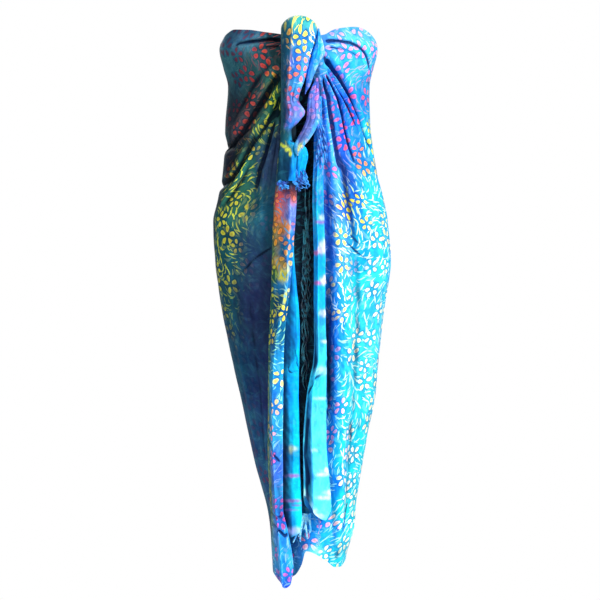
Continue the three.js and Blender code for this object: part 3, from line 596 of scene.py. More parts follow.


# A patch of dye, or of painted shade or highlight: its middle, how far it reaches across and down, the
# colours of its ground, petals and leaves, how strong the print is, and its weight against its neighbours
# where that isn't 1. On the wound cloth its middle is an angle and a height.
PATCH = "at z wide tall ground petal leaf print weight"
WOUND_DYES = chart(
    PATCH,
    # left front: grey teal above, with coral flowers by the knot and wine ones beyond, near black below
    # the first ridge, partly dark dye and partly painted shade, then yellow-green down the third ridge and
    # over the hip, and mottled plain cloth
    (-60, -8, 26, 22, "#4a7c98", "#6c3350", "#4f7c90", 0.6),
    (-22, -14, 8, 20, "#20343c", "#c04c38", "#a85048", 1.1),
    (-64, -70, 20, 44, "#3f7c84", "#5e2444", "#44808a", 0.8),
    (-36, -66, 11, 34, "#335c5c", "#d84a48", "#7c4450", 0.9),
    (-70, -140, 20, 40, "#202c3c", "#5a2440", "#31505c", 0.6),
    (-36, -130, 11, 32, "#33403f", "#b8433c", "#7c4a44", 0.8),
    (-54, -178, 14, 26, "#4f4c52", "#b8483f", "#6c4a48", 0.9),
    (-70, -250, 16, 40, "#171a2c", "#6c262c", "#3c2a34", 0.7),
    (-46, -216, 8, 30, "#1a2530", "#8c2f30", "#5a3a38", 0.8),
    (-22, -140, 5, 36, "#2c7054", "#e8f040", "#e0f044", 1.3),
    (-30, -196, 6, 30, "#307450", "#e4f040", "#dcec40", 1.3),
    (-42, -256, 8, 30, "#2c7460", "#e8f044", "#dcf044", 1.3),
    # painted shade: a near-black strip down the left side, where it turns away from the light
    (-86, -350, 9, 60, "#10152e", "#1c2c48", "#1c2c48", 0.1),
    (-48, -330, 15, 50, "#3c8068", "#f8fc58", "#ecf858", 1.5),
    (-60, -430, 14, 60, "#206870", "#e8f04c", "#dcec50", 1.5),
    (-64, -530, 10, 60, "#1a5c68", "#b4c84c", "#90b050", 1.0),
    (-26, -250, 9, 60, "#40547c", "#3c5c80", "#3c5c80", 0.05),
    (-24, -350, 10, 50, "#1f6480", "#6a3c80", "#2f6c88", 0.15),
    (-34, -440, 16, 60, "#2a4464", "#5a3478", "#2a6478", 0.15),
    (-40, -560, 18, 60, "#28345c", "#35406c", "#2c5c70", 0.1),
    (-60, -660, 22, 60, "#1a5070", "#30507a", "#2f7080", 0.35),
    (-36, -700, 14, 60, "#2c3868", "#42386c", "#2f6478", 0.15),
    (-60, -800, 30, 60, "#2a5c84", "#56386c", "#3f8494", 0.35),
    (-60, -930, 40, 60, "#2c6488", "#7a2c50", "#3a8494", 0.6),
    (-60, -1040, 40, 40, "#2c8cc4", "#b04c9c", "#5aa8d8", 0.7),
    # left back
    (-110, -120, 20, 140, "#23485a", "#8c3a50", "#3a7a80", 0.9),
    (-110, -420, 20, 170, "#1b4f72", "#b9c43e", "#a5bd46", 1.0),
    (-110, -800, 24, 220, "#20507a", "#7d4a7c", "#3b8790", 0.8),
    (-150, -200, 24, 200, "#234f86", "#d27a9a", "#4f92b0", 1.0),
    (-150, -700, 24, 300, "#1f4f96", "#9d8fd8", "#55a0c8", 1.0),
    (-180, -400, 18, 500, "#2466b4", "#c9a2e0", "#63b4dc", 1.0),
    # right back
    (180, -400, 18, 500, "#2466b4", "#c9a2e0", "#63b4dc", 1.0),
    (150, -260, 24, 260, "#1f7fc8", "#e89cd4", "#8fd0ea", 1.0),
    (150, -800, 24, 260, "#1b8cd0", "#f0c0e6", "#a6e2f2", 1.0),
    (112, -300, 20, 500, "#1fa8dc", "#f2ecc8", "#c8f2f4", 1.0),
    (112, -850, 20, 260, "#18b4dc", "#f4f4e0", "#d4f8f6", 1.0),
    # right front: sky blue above with lilac and pink flowers, royal blue down the pleats with coral
    # ones, then yellow flowers on royal blue at the hip, and white and cream on turquoise below
    (56, 6, 30, 20, "#60bcec", "#dcc0f8", "#b0dcf8", 0.9),
    (24, 0, 8, 30, "#3c94e8", "#cfa8f0", "#a8c8f8", 0.5),
    (40, -52, 14, 34, "#30b4f0", "#ee9ade", "#a4c0f4", 0.9),
    (66, -66, 16, 40, "#34b8f0", "#ee86d0", "#b0b4f0", 0.9),
    (68, -126, 16, 34, "#1490e4", "#e05c9c", "#9080cc", 0.9),
    (84, -196, 12, 40, "#22b4e8", "#dce84c", "#8cdc9c", 1.1),
    (28, -90, 8, 40, "#3a90f4", "#d08ae8", "#98b4f8", 0.6),
    (25, -170, 6, 60, "#48a8fa", "#e488dc", "#a0ccf8", 0.8),
    (36, -180, 7, 50, "#1a68ec", "#dc6490", "#6c88f0", 0.8),
    (50, -200, 8, 40, "#1c80ee", "#e05488", "#8ca8f4", 0.9),
    (60, -250, 10, 36, "#1494dc", "#f4a07c", "#b4e4f4", 1.1),
    (24, -270, 6, 60, "#48a4f6", "#ee7cc0", "#a8ccf8", 0.9),
    (36, -268, 8, 30, "#1654bc", "#d85468", "#6c7cd8", 1.0),
    (36, -330, 9, 34, "#1474d4", "#e4dc40", "#c8f090", 1.3),
    (42, -390, 9, 34, "#14a0ec", "#f4ec54", "#d8f8b4", 1.3),
    (66, -330, 14, 50, "#30d0ee", "#f0f4a4", "#d0fcf8", 1.2),
    (62, -420, 14, 50, "#2cd0ee", "#f4fad8", "#dcfffc", 1.2),
    (24, -420, 6, 60, "#50a8f0", "#f6f08c", "#f0fcf0", 1.2),
    (38, -486, 8, 36, "#18d4f2", "#90a8e8", "#c0f4f8", 0.7),
    (22, -520, 6, 50, "#2098ec", "#f4ec7c", "#ecfcf4", 1.2),
    (54, -540, 18, 60, "#38dcf2", "#f6fee8", "#ccfcf8", 1.2),
    (50, -660, 20, 70, "#3ce8f4", "#f6fee0", "#c8fcf6", 1.2),
    # painted shadow: a dark navy slit beside the right fold's valley, for the shade of the gap between the
    # fold and the panel
    (17.6, -420, 1.1, 80, "#0c48b8", "#9860b8", "#3c70cc", 0.4, 3),
    (17.3, -640, 0.95, 64, "#020820", "#0c2058", "#0c2058", 0.2, 30),
    (19.1, -630, 0.8, 74, "#0a3ea4", "#6850b0", "#2c68c8", 0.5, 3),
    (22, -640, 6, 60, "#1478f0", "#a884e4", "#8cc8f4", 0.8),
    (22, -770, 6, 80, "#1c88ee", "#e070c8", "#8ce0f8", 0.8),
    (31, -800, 7, 100, "#1cbcf0", "#f8c8ec", "#e0fcf8", 1.3),
    (48, -740, 20, 50, "#24d0ea", "#f8fcd8", "#ccfcf4", 1.3),
    (56, -840, 20, 60, "#20d8ea", "#f4fce8", "#bcfcf6", 1.1),
    (26, -890, 8, 50, "#1898ea", "#f0f4b4", "#d0fcf6", 1.1),
    (27, -892, 4, 26, "#0c8cf0", "#e8f0b4", "#60d0f4", 0.7, 2),
    (60, -960, 34, 60, "#1cdce8", "#f0fcf0", "#b8fcf6", 1.2),
    (30, -1020, 26, 40, "#1cc8ec", "#dcf8c8", "#a8f8f6", 1.2),
    (6, -1040, 14, 30, "#2460d8", "#e07ccc", "#90b8f4", 1.0),
    (40, -446, 9, 30, "#08ccf0", "#70acec", "#b4f0f8", 0.8),
    # painted shadow under the right fold's hem, and the corner turned up below it
    (12, -984, 15, 22, "#0c74ec", "#e070c0", "#6cb0f4", 0.7, 2.5),
    (47, -970, 3, 20, "#2458d4", "#d070c8", "#5c90f0", 0.6, 3),
    (30, -996, 8, 20, "#2460d8", "#e474c4", "#80b4f4", 1, 1.2),
    (7, -1031, 8, 9, "#70f0f8", "#d8fcfc", "#b8fcf8", 0.4, 8),
    # the inner layer, between the hanging folds: painted near black for the shade deep between them, and
    # printed where it shows at the hem
    (5, -300, 12, 200, "#08121e", "#1b5a68", "#1b5a64", 0.5),
    (0, -700, 14, 220, "#081222", "#1a4a5c", "#16505c", 0.5),
    (-20, -1050, 14, 40, "#16245c", "#8c2f6c", "#2a4a8c", 0.9),
)


# How far round the cloth each degree lies from the centre back, folds and all, every 10 mm down.
TAPE_TOP, TAPE_FOOT, TAPE_STEP = 30, -1120, 10
TAPE_ROWS = (TAPE_TOP - TAPE_FOOT) // TAPE_STEP + 1
FROM_BACK = run_across(wound_point(*np.meshgrid(
    np.linspace(-180, 180, 361), np.linspace(TAPE_TOP, TAPE_FOOT, TAPE_ROWS))))


def cloth_place(angle, z):
    """The cloth's own measure: up from 0 at the centre back round the left, and down round the right."""
    row = np.clip((TAPE_TOP - z) / TAPE_STEP, 0, TAPE_ROWS - 1.001)
    column = np.clip(angle + 180, 0, 359.999)
    j, i = row.astype(int), column.astype(int)
    down, across = row - j, column - i
    upper = mix(FROM_BACK[j, i], FROM_BACK[j, i + 1], across)
    lower = mix(FROM_BACK[j + 1, i], FROM_BACK[j + 1, i + 1], across)
    whole = mix(FROM_BACK[j, 360], FROM_BACK[j + 1, 360], down)
    place = mix(upper, lower, down)
    return np.where(angle > 10, place - whole, place)


def turned_to(points):
    """The angle round the figure of points that lie on the wound cloth."""
    middle, half, front, back = section_at(points[:, 2])
    depth = np.where(points[:, 1] < 0, front, back)
    return np.degrees(np.arctan2((points[:, 0] - middle) / half, -points[:, 1] / depth))


def wound_stretch(name, start, end, columns, rows):
    """A stretch of the wound cloth between two limits, each an angle or a side of VALLEYS.

    Its rows lie closer near the top, where the folds are small. Its limits depend on the height and
    its top and hem on the angle, so they are worked out in turn."""
    crowding = 0.45
    down = np.linspace(0, 1, rows)
    u, v = np.meshgrid(np.linspace(0, 1, columns), mix(down, down ** 2, crowding))

    def limit(side, z):
        if isinstance(side, str):
            return angle_at(between(VALLEYS, "z", z, side), z)
        return np.full(np.shape(z), float(side))

    z = np.zeros(u.shape)
    for _ in range(6):
        angle = mix(limit(start, z), limit(end, z), u)
        z = mix(between(TOP_EDGE, "at", angle, "z"), between(HEM, "at", angle, "z"), v)
    piece = cloth_mesh(name, wound_point(angle, z), cloth_place(angle, z), z)
    give_thickness(piece)
    places = points_of(piece)
    dye(piece, WOUND_DYES, (turned_to(places), places[:, 2]))
    return piece


wound_finish = batik("printed_rayon", 0.047, 0.6)
WOUND = [
    # CAD node, first limit, last limit, columns, rows, flat width and height, slot
    ("wrap_back_left", -180, -90, 64, 300, (0.22, 1.0), "dark_side"),
    ("wrap_back_right", 90, 180, 64, 300, (0.22, 1.0), "bright_side"),
    ("panel_left", -90, "left", 100, 380, (0.14, 1.06), "dark_side"),
    ("panel_right", "right", 90, 110, 380, (0.18, 1.06), "bright_side"),
    ("underlap", "left", "right", 40, 300, (0.12, 1.05), "underlap"),
]
for node, start, end, columns, rows, flat, slot in WOUND:
    piece = wound_stretch(node + "_cloth", start, end, columns, rows)
    piece.data.materials.append(wound_finish)
    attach(piece, "root")
    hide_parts(node)

# ---- The hanging folds -------------------------------------------------------------------------
# The two short ends of the cloth fall from the knot in soft folds: two on the left, one behind the
# other, and one on the right. Each leaves its valley beside a panel, crosses in front of the inner
# layer, and turns back under itself to a free edge.

# At each height: the X of a fold's valley and of its turn, how far forward its crown and its tucked
# edge lie, the width of the tuck, the place of its ridge from 0 at the valley to 1 at the turn, how
# far forward the facet beyond it stays, and how far forward the fold starts if not on the wound cloth.
FOLD = "z valley turn crown back tuck ridge facet"
OUTER_LEFT_FOLD = chart(
    FOLD,
    (-150, -34, -10, 117, 110, 8, 0.5, 0.9),
    (-215, -40, -6, 121, 113, 10, 0.5, 0.95),
    (-262, -45, -4, 129, 118, 12, 0.6, 0.95),
    (-330, -50, -6, 137, 123, 14, 0.74, 0.92),
    (-480, -58, -20, 141, 125, 14, 0.8, 0.9),
    (-600, -61, -30, 137, 122, 12, 0.5, 0.93),
    (-720, -63, -33, 132, 118, 9, 0.3, 0.96),
    (-830, -63, -33, 129, 116, 8, 0.36, 0.96),
    (-940, -61, -36, 126, 113, 8, 0.4, 0.95),
    (-1000, -58, -24, 126, 106, 8, 0.4, 0.95),
    (-1060, -55, -14, 124, 100, 6, 0.45, 0.95),
    (-1110, -50, -20, 120, 98, 4, 0.5, 0.95),
)
OUTER_LEFT_HEM = chart(
    "u z",
    (0, -1062), (0.25, -1086), (0.5, -1102), (0.75, -1086), (0.9, -1046), (1, -1006),
)
INNER_LEFT_FOLD = chart(
    FOLD + " lies",
    (-260, -38, -14, 115.4, 107, 8, 0.5, 0.9, 110),
    (-420, -40, -12, 121.4, 109, 10, 0.8, 0.95, 112),
    (-560, -42, -4, 120.4, 107, 12, 0.75, 0.95, 112),
    (-640, -44, -2, 118.6, 104, 14, 0.8, 0.9, 109),
    (-670, -44, -2, 117.4, 102, 14, 0.5, 0.85, 107),
    (-830, -44, 0, 113.4, 98, 14, 0.58, 0.85, 102),
    (-940, -42, 4, 111.4, 95, 14, 0.55, 0.85, 100),
    (-1010, -38, 4, 107.4, 92, 10, 0.55, 0.85, 96),
)
INNER_LEFT_HEM = chart(
    "u z",
    (0, -1004), (0.45, -998), (0.75, -978), (1, -960),
)
RIGHT_FOLD = chart(
    FOLD,
    (-120, 43, 32, 121, 118, 2, 0.5, 0.9),
    (-200, 45, 27, 122, 113, 5, 0.5, 0.9),
    (-290, 48, 27, 133, 117, 10, 0.6, 0.85),
    (-480, 51, 28, 137, 116, 14, 0.64, 0.85),
    (-600, 51, 27, 134, 112, 15, 0.66, 0.8),
    (-650, 51, 24, 132, 110, 16, 0.62, 0.75),
    (-680, 51, 18, 131, 108, 18, 0.73, 0.8),
    (-728, 52, 12, 129, 106, 20, 0.72, 0.77),
    (-832, 54, 8, 125, 103, 22, 0.62, 0.77),
    (-938, 62, 9, 123, 100, 20, 0.66, 0.77),
    (-970, 62, 12, 121, 99, 18, 0.66, 0.77),
)
RIGHT_HEM = chart(
    "u z",
    (0, -944), (0.11, -950), (0.19, -967), (0.33, -956), (0.5, -936), (0.67, -916), (0.8, -938),
    (1, -958),
)
# Creases of a hanging fold. Their paths are in shares of its width and heights.
OUTER_LEFT_CREASES = chart(
    CREASE,
    (-3.5, 3, 6, 0.6, 1, 0.8, [(0.1, -796), (0.3, -822), (0.62, -852)]),
    (-2.5, 4, 5, 1, 0.6, 0.7, [(0.1, -950), (0.34, -962), (0.62, -958)]),
    (-2.5, 4, 5, 1, 0.6, 0.7, [(0.14, -972), (0.4, -984), (0.6, -994)]),
    (-4, 2.5, 9, 1, 1, 0.8, [(0.34, -992), (0.48, -985), (0.56, -996), (0.7, -990)]),
    (1.8, 6, 6, 1, 0.5, 0.2, [(0.3, -420), (0.5, -520), (0.46, -620)]),
    (2, 8, 8, 0.5, 1, 0.2, [(0.3, -1020), (0.36, -1090)]),
)
INNER_LEFT_CREASES = chart(
    CREASE,
    (3, 3, 4, 0.7, 1, 0.7, [(0.42, -624), (0.52, -640), (0.66, -658)]),
    (-3, 3, 4, 0.7, 1, 0.7, [(0.5, -640), (0.6, -656), (0.7, -668)]),
    (-2, 3, 5, 1, 0.6, 0.7, [(0.3, -660), (0.5, -672), (0.66, -668)]),
    (1.2, 4, 4, 1, 0.7, 0.2, [(0.52, -760), (0.5, -900)]),
)
RIGHT_CREASES = chart(
    CREASE,
    (-1.2, 4, 5, 0.6, 1, 0.6, [(0.1, -640), (0.34, -668), (0.56, -690)]),
    (1.8, 4, 6, 0.5, 1, 0.5, [(0.14, -668), (0.4, -690), (0.62, -716)]),
    (-1.4, 4, 5, 1, 0.4, 0.6, [(0.3, -688), (0.48, -706), (0.6, -734)]),
    (-3, 2.5, 3, 1, 0.2, 0.8, [(0.1, -724), (0.17, -790), (0.22, -860)]),
    (2, 6, 6, 0.6, 0.8, 0.2, [(0.5, -760), (0.62, -840), (0.5, -900)]),
)

# Patches of dye on the hanging folds, by share of the width and height.
OUTER_LEFT_DYES = chart(
    PATCH,
    # painted shadow, near black, under the knot, then coral, orange and yellow smears on blue
    (0.4, -190, 0.7, 60, "#081424", "#0c1c34", "#0c2038", 0.1),
    (0.5, -290, 0.5, 16, "#284c70", "#284c70", "#3c6c90", 0.3),
    (0.2, -334, 0.07, 22, "#f0685c", "#ff7a60", "#5c88c8", 0.9, 3),
    (0.16, -364, 0.04, 16, "#ec5c44", "#ff7048", "#4c90a8", 0.8, 3),
    (0.3, -342, 0.05, 22, "#3c70b4", "#d07890", "#8088d0", 0.6, 2),
    (0.46, -322, 0.08, 14, "#e86c64", "#ff8878", "#6c90dc", 0.8, 2),
    (0.46, -358, 0.09, 18, "#6488dc", "#e88c90", "#8cb4ec", 0.6, 2),
    (0.3, -384, 0.09, 9, "#f09448", "#ffa050", "#4ca0d0", 0.9, 3),
    (0.17, -400, 0.05, 28, "#b08850", "#f89040", "#3c84a0", 0.9, 2),
    (0.4, -412, 0.1, 16, "#2c8cd8", "#f8a860", "#60b4ec", 0.7, 2),
    (0.26, -430, 0.07, 18, "#2878a0", "#f09848", "#b89848", 0.9, 1.5),
    (0.21, -452, 0.08, 8, "#f4b848", "#ffc850", "#50a8c8", 0.9, 3),
    (0.42, -446, 0.1, 14, "#1c90e4", "#f8e070", "#70c8f0", 0.7, 1.5),
    (0.4, -464, 0.06, 7, "#f8f8b0", "#fcf8c8", "#3ca4ec", 0.8, 3),
    (0.32, -482, 0.06, 8, "#f4e444", "#fcf050", "#48b0dc", 0.9, 3),
    (0.3, -503, 0.14, 9, "#2890d0", "#e8f0a0", "#70c8e8", 0.9, 2),
    (0.42, -522, 0.05, 8, "#f4ec60", "#fcf490", "#48b4ec", 0.8, 3),
    (0.28, -536, 0.12, 26, "#145c80", "#e4e048", "#d0dc60", 1.0, 1.2),
    (0.4, -592, 0.25, 36, "#10689c", "#f4e860", "#88d0b0", 1.2),
    # then pale cyan with yellow-white print, pink below, and bright cyan in the low corner
    (0.45, -690, 0.25, 50, "#28a8ec", "#f4f4a0", "#8ce4f0", 1.1),
    (0.45, -780, 0.25, 40, "#2ca4e8", "#e8b8cc", "#88dcf4", 1.0),
    (0.5, -850, 0.25, 40, "#3c84dc", "#d860bc", "#7ca4e8", 0.9),
    (0.5, -940, 0.25, 40, "#2c84d4", "#b850a8", "#7088e0", 0.9),
    (0.45, -1030, 0.5, 40, "#2090dc", "#d868c4", "#7cb8f0", 0.8, 1.5),
    (0.45, -1096, 0.5, 16, "#2464d4", "#a860d0", "#70a8f0", 0.8, 2),
    # the valley side, olive green, and the turned edge
    (0.13, -560, 0.045, 220, "#2c6048", "#b0c040", "#90a848", 1.0, 2),
    (0.14, -840, 0.05, 150, "#4c6c40", "#a0a048", "#88a858", 1.1, 3),
    (0.95, -600, 0.12, 400, "#1a4a9c", "#2a5ab0", "#2a62b8", 0.2),
)
PLAIN_FOLD_DYES = chart(
    PATCH,
    # painted shade: dark blue to near black down the fold's left part, which lies in the shadow behind the
    # outer left fold
    (0.2, -450, 0.25, 200, "#0c58a0", "#1470c0", "#0c60b0", 0),
    (0.6, -450, 0.25, 150, "#08b4ff", "#8cd8f8", "#18b0f8", 0.02),
    (0.6, -650, 0.25, 90, "#04a8f0", "#8cd8f8", "#18c0f8", 0.02),
    (0.56, -800, 0.14, 60, "#08b8f2", "#a8e0f0", "#20d0f8", 0.05),
    (0.56, -960, 0.14, 60, "#08ccf4", "#60c0f0", "#30e0f8", 0.05),
    (0.36, -860, 0.1, 150, "#1080b0", "#1898c8", "#1898c8", 0),
    (0.24, -840, 0.07, 190, "#081838", "#0c2040", "#0c2848", 0, 3),
    (0.42, -826, 0.07, 5, "#d8d48c", "#f0ecb0", "#f0ecb0", 0, 4),
    (0.54, -824, 0.05, 3, "#e8f8ec", "#f0f8f0", "#f0f8f0", 0, 3),
    (0.44, -878, 0.12, 2.4, "#a858b4", "#c878c8", "#c078c8", 0, 3),
    (0.44, -928, 0.16, 2.2, "#a850a8", "#b868b8", "#b868b8", 0, 3),
    (0.56, -937, 0.1, 1.6, "#8058c0", "#9068c8", "#9068c8", 0, 2.5),
    (0.4, -946, 0.14, 1.6, "#7c60c0", "#9068c8", "#9068c8", 0, 2),
    (0.5, -988, 0.3, 5, "#b0b8f0", "#c8c8f4", "#c8c8f4", 0, 3),
)
# The right fold is nearly plain, with white and pink bars where it was bound before dyeing.
RIGHT_FOLD_DYES = chart(
    PATCH,
    (0.4, -200, 0.4, 80, "#1c90f4", "#c8a8f0", "#a0d0f8", 0.4),
    (0.4, -330, 0.4, 60, "#20a8f6", "#d0b8f4", "#a0dcf8", 0.1),
    (0.4, -480, 0.4, 90, "#10b0f8", "#60ccf8", "#38ccf8", 0.05),
    (0.4, -620, 0.4, 50, "#40d0fa", "#60ccf8", "#30c4f8", 0.05),
    (0.4, -700, 0.4, 30, "#30ccf8", "#80e4f8", "#70e8f8", 0.1),
    (0.3, -830, 0.24, 80, "#54e4fa", "#90f0fc", "#80f0fc", 0.1),
    (0.3, -940, 0.3, 36, "#50e4fa", "#90f4fc", "#80f4fc", 0.1),
    # painted shade: deeper blue down the fold's left half, which turns away from the light, and a navy
    # line at its right edge for the shadow of the gap beside it
    (0.52, -860, 0.07, 110, "#0c5c9c", "#1068a8", "#1068a8", 0, 2),
    (0.4, -850, 0.035, 90, "#1c88dc", "#2090e4", "#2090e4", 0, 1.4),
    (0.62, -620, 0.08, 44, "#145098", "#1c60a8", "#1c60a8", 0, 2),
    (0.09, -630, 0.025, 80, "#0c2464", "#0c2464", "#0c2464", 0, 6),
    (0.85, -600, 0.12, 500, "#1c64b4", "#3a7cc8", "#2a80d0", 0),
    # bars: white at the right edge, pink where they run out to the left
    (0.12, -364, 0.1, 3.5, "#e0f0fc", "#f0f8fc", "#f0f8fc", 0, 6),
    (0.3, -373, 0.16, 1.8, "#b070d0", "#c890e0", "#c890e0", 0, 6),
    (0.1, -423, 0.12, 8, "#fdf4fa", "#ffffff", "#ffffff", 0, 8),
    (0.3, -428, 0.08, 4, "#f4d8f0", "#ffffff", "#ffffff", 0, 8),
    (0.5, -434, 0.12, 2.6, "#e070b8", "#ec90cc", "#ec90cc", 0, 8),
    (0.1, -489, 0.1, 5.5, "#f8e4f8", "#ffffff", "#ffffff", 0, 8),
    (0.44, -494, 0.13, 2.4, "#e068c0", "#ec88d0", "#ec88d0", 0, 8),
    (0.16, -555, 0.1, 4.5, "#f8f4fc", "#ffffff", "#ffffff", 0, 4),
    (0.14, -611, 0.1, 2.5, "#e8f8fc", "#ffffff", "#ffffff", 0, 3),
    (0.24, -669, 0.16, 6, "#b8f4fa", "#e0fcfc", "#e0fcfc", 0, 2),
    (0.2, -724, 0.1, 2, "#d0f4fc", "#e8fcfc", "#e8fcfc", 0, 1.5),
    (0.36, -827, 0.08, 2.2, "#e4e0fc", "#f4f0fc", "#f4f0fc", 0, 2),
    (0.08, -868, 0.07, 3, "#f4fcfc", "#ffffff", "#ffffff", 0, 5),
    (0.2, -876, 0.07, 2.2, "#e8fcfc", "#ffffff", "#ffffff", 0, 3),
    # the rolled hem
    (0.64, -916, 0.05, 6, "#a8ecfa", "#c0f4fc", "#c0f4fc", 0, 8),
    (0.56, -926, 0.05, 5, "#a8ecfa", "#c0f4fc", "#c0f4fc", 0, 8),
    (0.47, -938, 0.05, 5, "#b4f0fa", "#c0f4fc", "#c0f4fc", 0, 8),
    (0.38, -949, 0.05, 4, "#c8f4fc", "#d0f8fc", "#d0f8fc", 0, 8),
    (0.28, -959, 0.05, 3, "#d8f8fc", "#e0fcfc", "#e0fcfc", 0, 8),
    (0.07, -912, 0.07, 4, "#f8fcfc", "#ffffff", "#ffffff", 0, 6),
    (0.2, -922, 0.07, 2.6, "#ecfcfc", "#ffffff", "#ffffff", 0, 3),
)


HANGING_WIDTH = 90  # of a fold, as far as its creases and its ripple go


def outward_at(angle):
    turn = np.radians(angle)
    return np.stack([np.sin(turn), -np.cos(turn), np.zeros(np.shape(turn))], -1)


def curve_through(points, u):
    """Points on a soft curve through a row of points, evenly spaced in its own measure."""
    before = 2 * points[:, :1] - points[:, 1:2]
    after = 2 * points[:, -1:] - points[:, -2:-1]
    padded = np.concatenate([before, points, after], 1)
    where = np.clip(u * (points.shape[1] - 1), 0, points.shape[1] - 1.0001)
    i = where.astype(int)
    t = (where - i)[..., None]
    rows = np.arange(len(points))[:, None]
    a, b, c, d = (padded[rows, i + k] for k in range(4))
    bend = (2 * a - 5 * b + 4 * c - d) * t ** 2 + (3 * b - a - 3 * c + d) * t ** 3
    return 0.5 * (2 * b + (c - a) * t + bend)


def creased(creases, across, down, unit):
    """How far its creases raise a strip. A step of 1 across counts as unit millimetres."""
    wide = unit / ARC
    return sum(lift(dict(crease, path=[(a * wide, b) for a, b in crease["path"]]), across * wide, down)
               for crease in creases)


def dye_by_share(piece, table):
    """Dyes a piece whose patches lie by share of its width and by height."""
    shares = np.empty(len(piece.data.vertices), np.float32)
    piece.data.attributes["share"].data.foreach_get("value", shares)
    dye(piece, table, (shares.astype(float), points_of(piece)[:, 2]))


def hanging_fold(name, table, top, hem, creases, dyes, seed, columns=70, rows=300):
    """A fold that hangs from the knot, from its valley across its crown to its tucked free edge."""
    u, v = np.meshgrid(np.linspace(0, 1, columns), np.linspace(0, 1, rows))
    z = mix(top, between(hem, "u", u, "z"), v)
    side = 1 if table[0]["turn"] > table[0]["valley"] else -1
    stack = np.empty(z.shape + (3,))
    for i in range(columns):
        height = z[:, i]
        row = {key: between(table, "z", height, key) for key in table[0] if key != "z"}
        wide = np.abs(row["turn"] - row["valley"])
        inside = row["valley"] + side * 2
        angle = angle_at(inside, height)
        if "lies" in row:
            start = np.stack([inside, -row["lies"]], -1)
        else:
            clear = (0.8 + CLOTH * np.abs(np.sin(np.radians(angle))))[:, None]
            start = (wound_point(angle, height) + outward_at(angle) * clear)[:, :2]
        # the fold sways a little on its way down, in a long wave and a short one
        swing = 1.6 * np.sin(height / 83 + seed) + 0.9 * np.sin(height / 37 + 2.3 * seed)

        def place(across, low, share):
            return np.stack([row["valley"] + side * across + swing * smooth((top - height) / 200),
                             mix(low, -row["crown"], share)], -1)

        # from the start to the tucked edge: how far across, and how far forward towards the crown
        ridge, low, back = row["ridge"], start[:, 1], -row["back"]
        plan = np.stack([
            start,
            place(0, low, 0.35),
            place(wide * ridge * 0.45, low, 0.72),
            place(wide * ridge * 0.9, low, 0.98),
            place(wide * mix(ridge, 1, 0.12), low, 0.99),
            place(wide * mix(ridge, 1, 0.6), low, row["facet"]),
            place(wide, back, 0.55),
            place(wide - 1.5, back, 0.2),
            place(wide - 3 - row["tuck"] * 0.5, back, 0.02),
            place(wide - 3 - row["tuck"], back, -0.15),
        ], 1)
        stack[:, i, :2] = curve_through(plan, u[:, i:i + 1])[:, 0]
    stack[..., 2] = z
    raised = creased(creases, u, z, HANGING_WIDTH)
    raised = raised + 0.5 * ripple(u * HANGING_WIDTH, z, 26, seed + 10)
    stack += facing(stack) * raised[..., None]
    width = run_across(stack)
    if side < 0:
        stack, width, z, u = stack[:, ::-1], -width[:, ::-1], z[:, ::-1], u[:, ::-1]
    own_print = 700 * side + 90 * seed
    piece = cloth_mesh(name, stack, width + own_print, z)
    mark(piece.data, "share", u)
    give_thickness(piece)
    dye_by_share(piece, dyes)
    return piece


HANGING = [
    # node, table, top, hem, creases, dyes, seed, flat, slot
    ("cascade_left_outer", OUTER_LEFT_FOLD, -152, OUTER_LEFT_HEM, OUTER_LEFT_CREASES, OUTER_LEFT_DYES, 1,
     (0.1, 0.93), "left_fold"),
    ("cascade_left_inner", INNER_LEFT_FOLD, -300, INNER_LEFT_HEM, INNER_LEFT_CREASES, PLAIN_FOLD_DYES, 2,
     (0.08, 0.69), "plain_fold"),
    ("cascade_right", RIGHT_FOLD, -122, RIGHT_HEM, RIGHT_CREASES, RIGHT_FOLD_DYES, 3,
     (0.09, 0.83), "plain_fold"),
]
for node, table, top, hem, creases, dyes, seed, flat, slot in HANGING:
    piece = hanging_fold(node + "_cloth", table, top, hem, creases, dyes, seed)
    piece.data.materials.append(wound_finish)
    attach(piece, "root")
    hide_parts(node)

# ---- The tie -----------------------------------------------------------------------------------
# The top corner of one end goes up behind the edge, over it and down the front as a broad loop, with
# a bright strip of its own cloth beside it. The other corner comes round as a lilac band, crosses
# under the loop's tip and ends in a short gathered end with a yellow line of print.

# Stations along each strip: where its line passes, the X of its edges, the height of its crown, the
# place of its ridge from 0 at the left edge to 1 at the right, how far its left edge is sunk back, and
# how far both edges curl back.
STATION = "y z left right crown ridge sunk curl"
CORNER = chart(
    STATION,
    (-100.2, -18, -24, 20, 3, 0.5, 0, 2),
    (-98.2, 0, -31, 30, 9, 0.5, 0, 4),
    (-102, 12, -37, 34, 21, 0.5, 0, 7),
    (-115, 13, -38, 34, 26, 0.48, 0, 9),
    (-125, 7, -38, 34, 27, 0.42, 4, 9),
    (-130, -10, -38, 30, 23, 0.32, 13, 9),
    (-131, -46, -38, 20, 21, 0.3, 15, 9),
    (-131, -84, -38, 11, 19, 0.33, 16, 9),
    (-131, -128, -38, -2, 17, 0.42, 16, 9),
    (-131, -154, -38, 10, 17, 0.42, 14, 8),
    (-131, -173, -38, -2, 14, 0.52, 10, 7),
    (-132, -191, -39, -17, 10, 0.7, 6, 6),
    (-133.5, -211, -39, -15, 6, 0.7, 3, 5),
    (-134.5, -225, -40, 12, 5, 0.42, 1, 5),
    (-135.5, -241, -43, 16, 8, 0.42, 0, 5),
    (-137, -262, -44, 12, 12, 0.42, 0, 5),
    (-137.5, -280, -46, 8, 13, 0.45, 0, 5),
    (-138, -291.6, -46, 2, 12, 0.5, 0, 5),
)
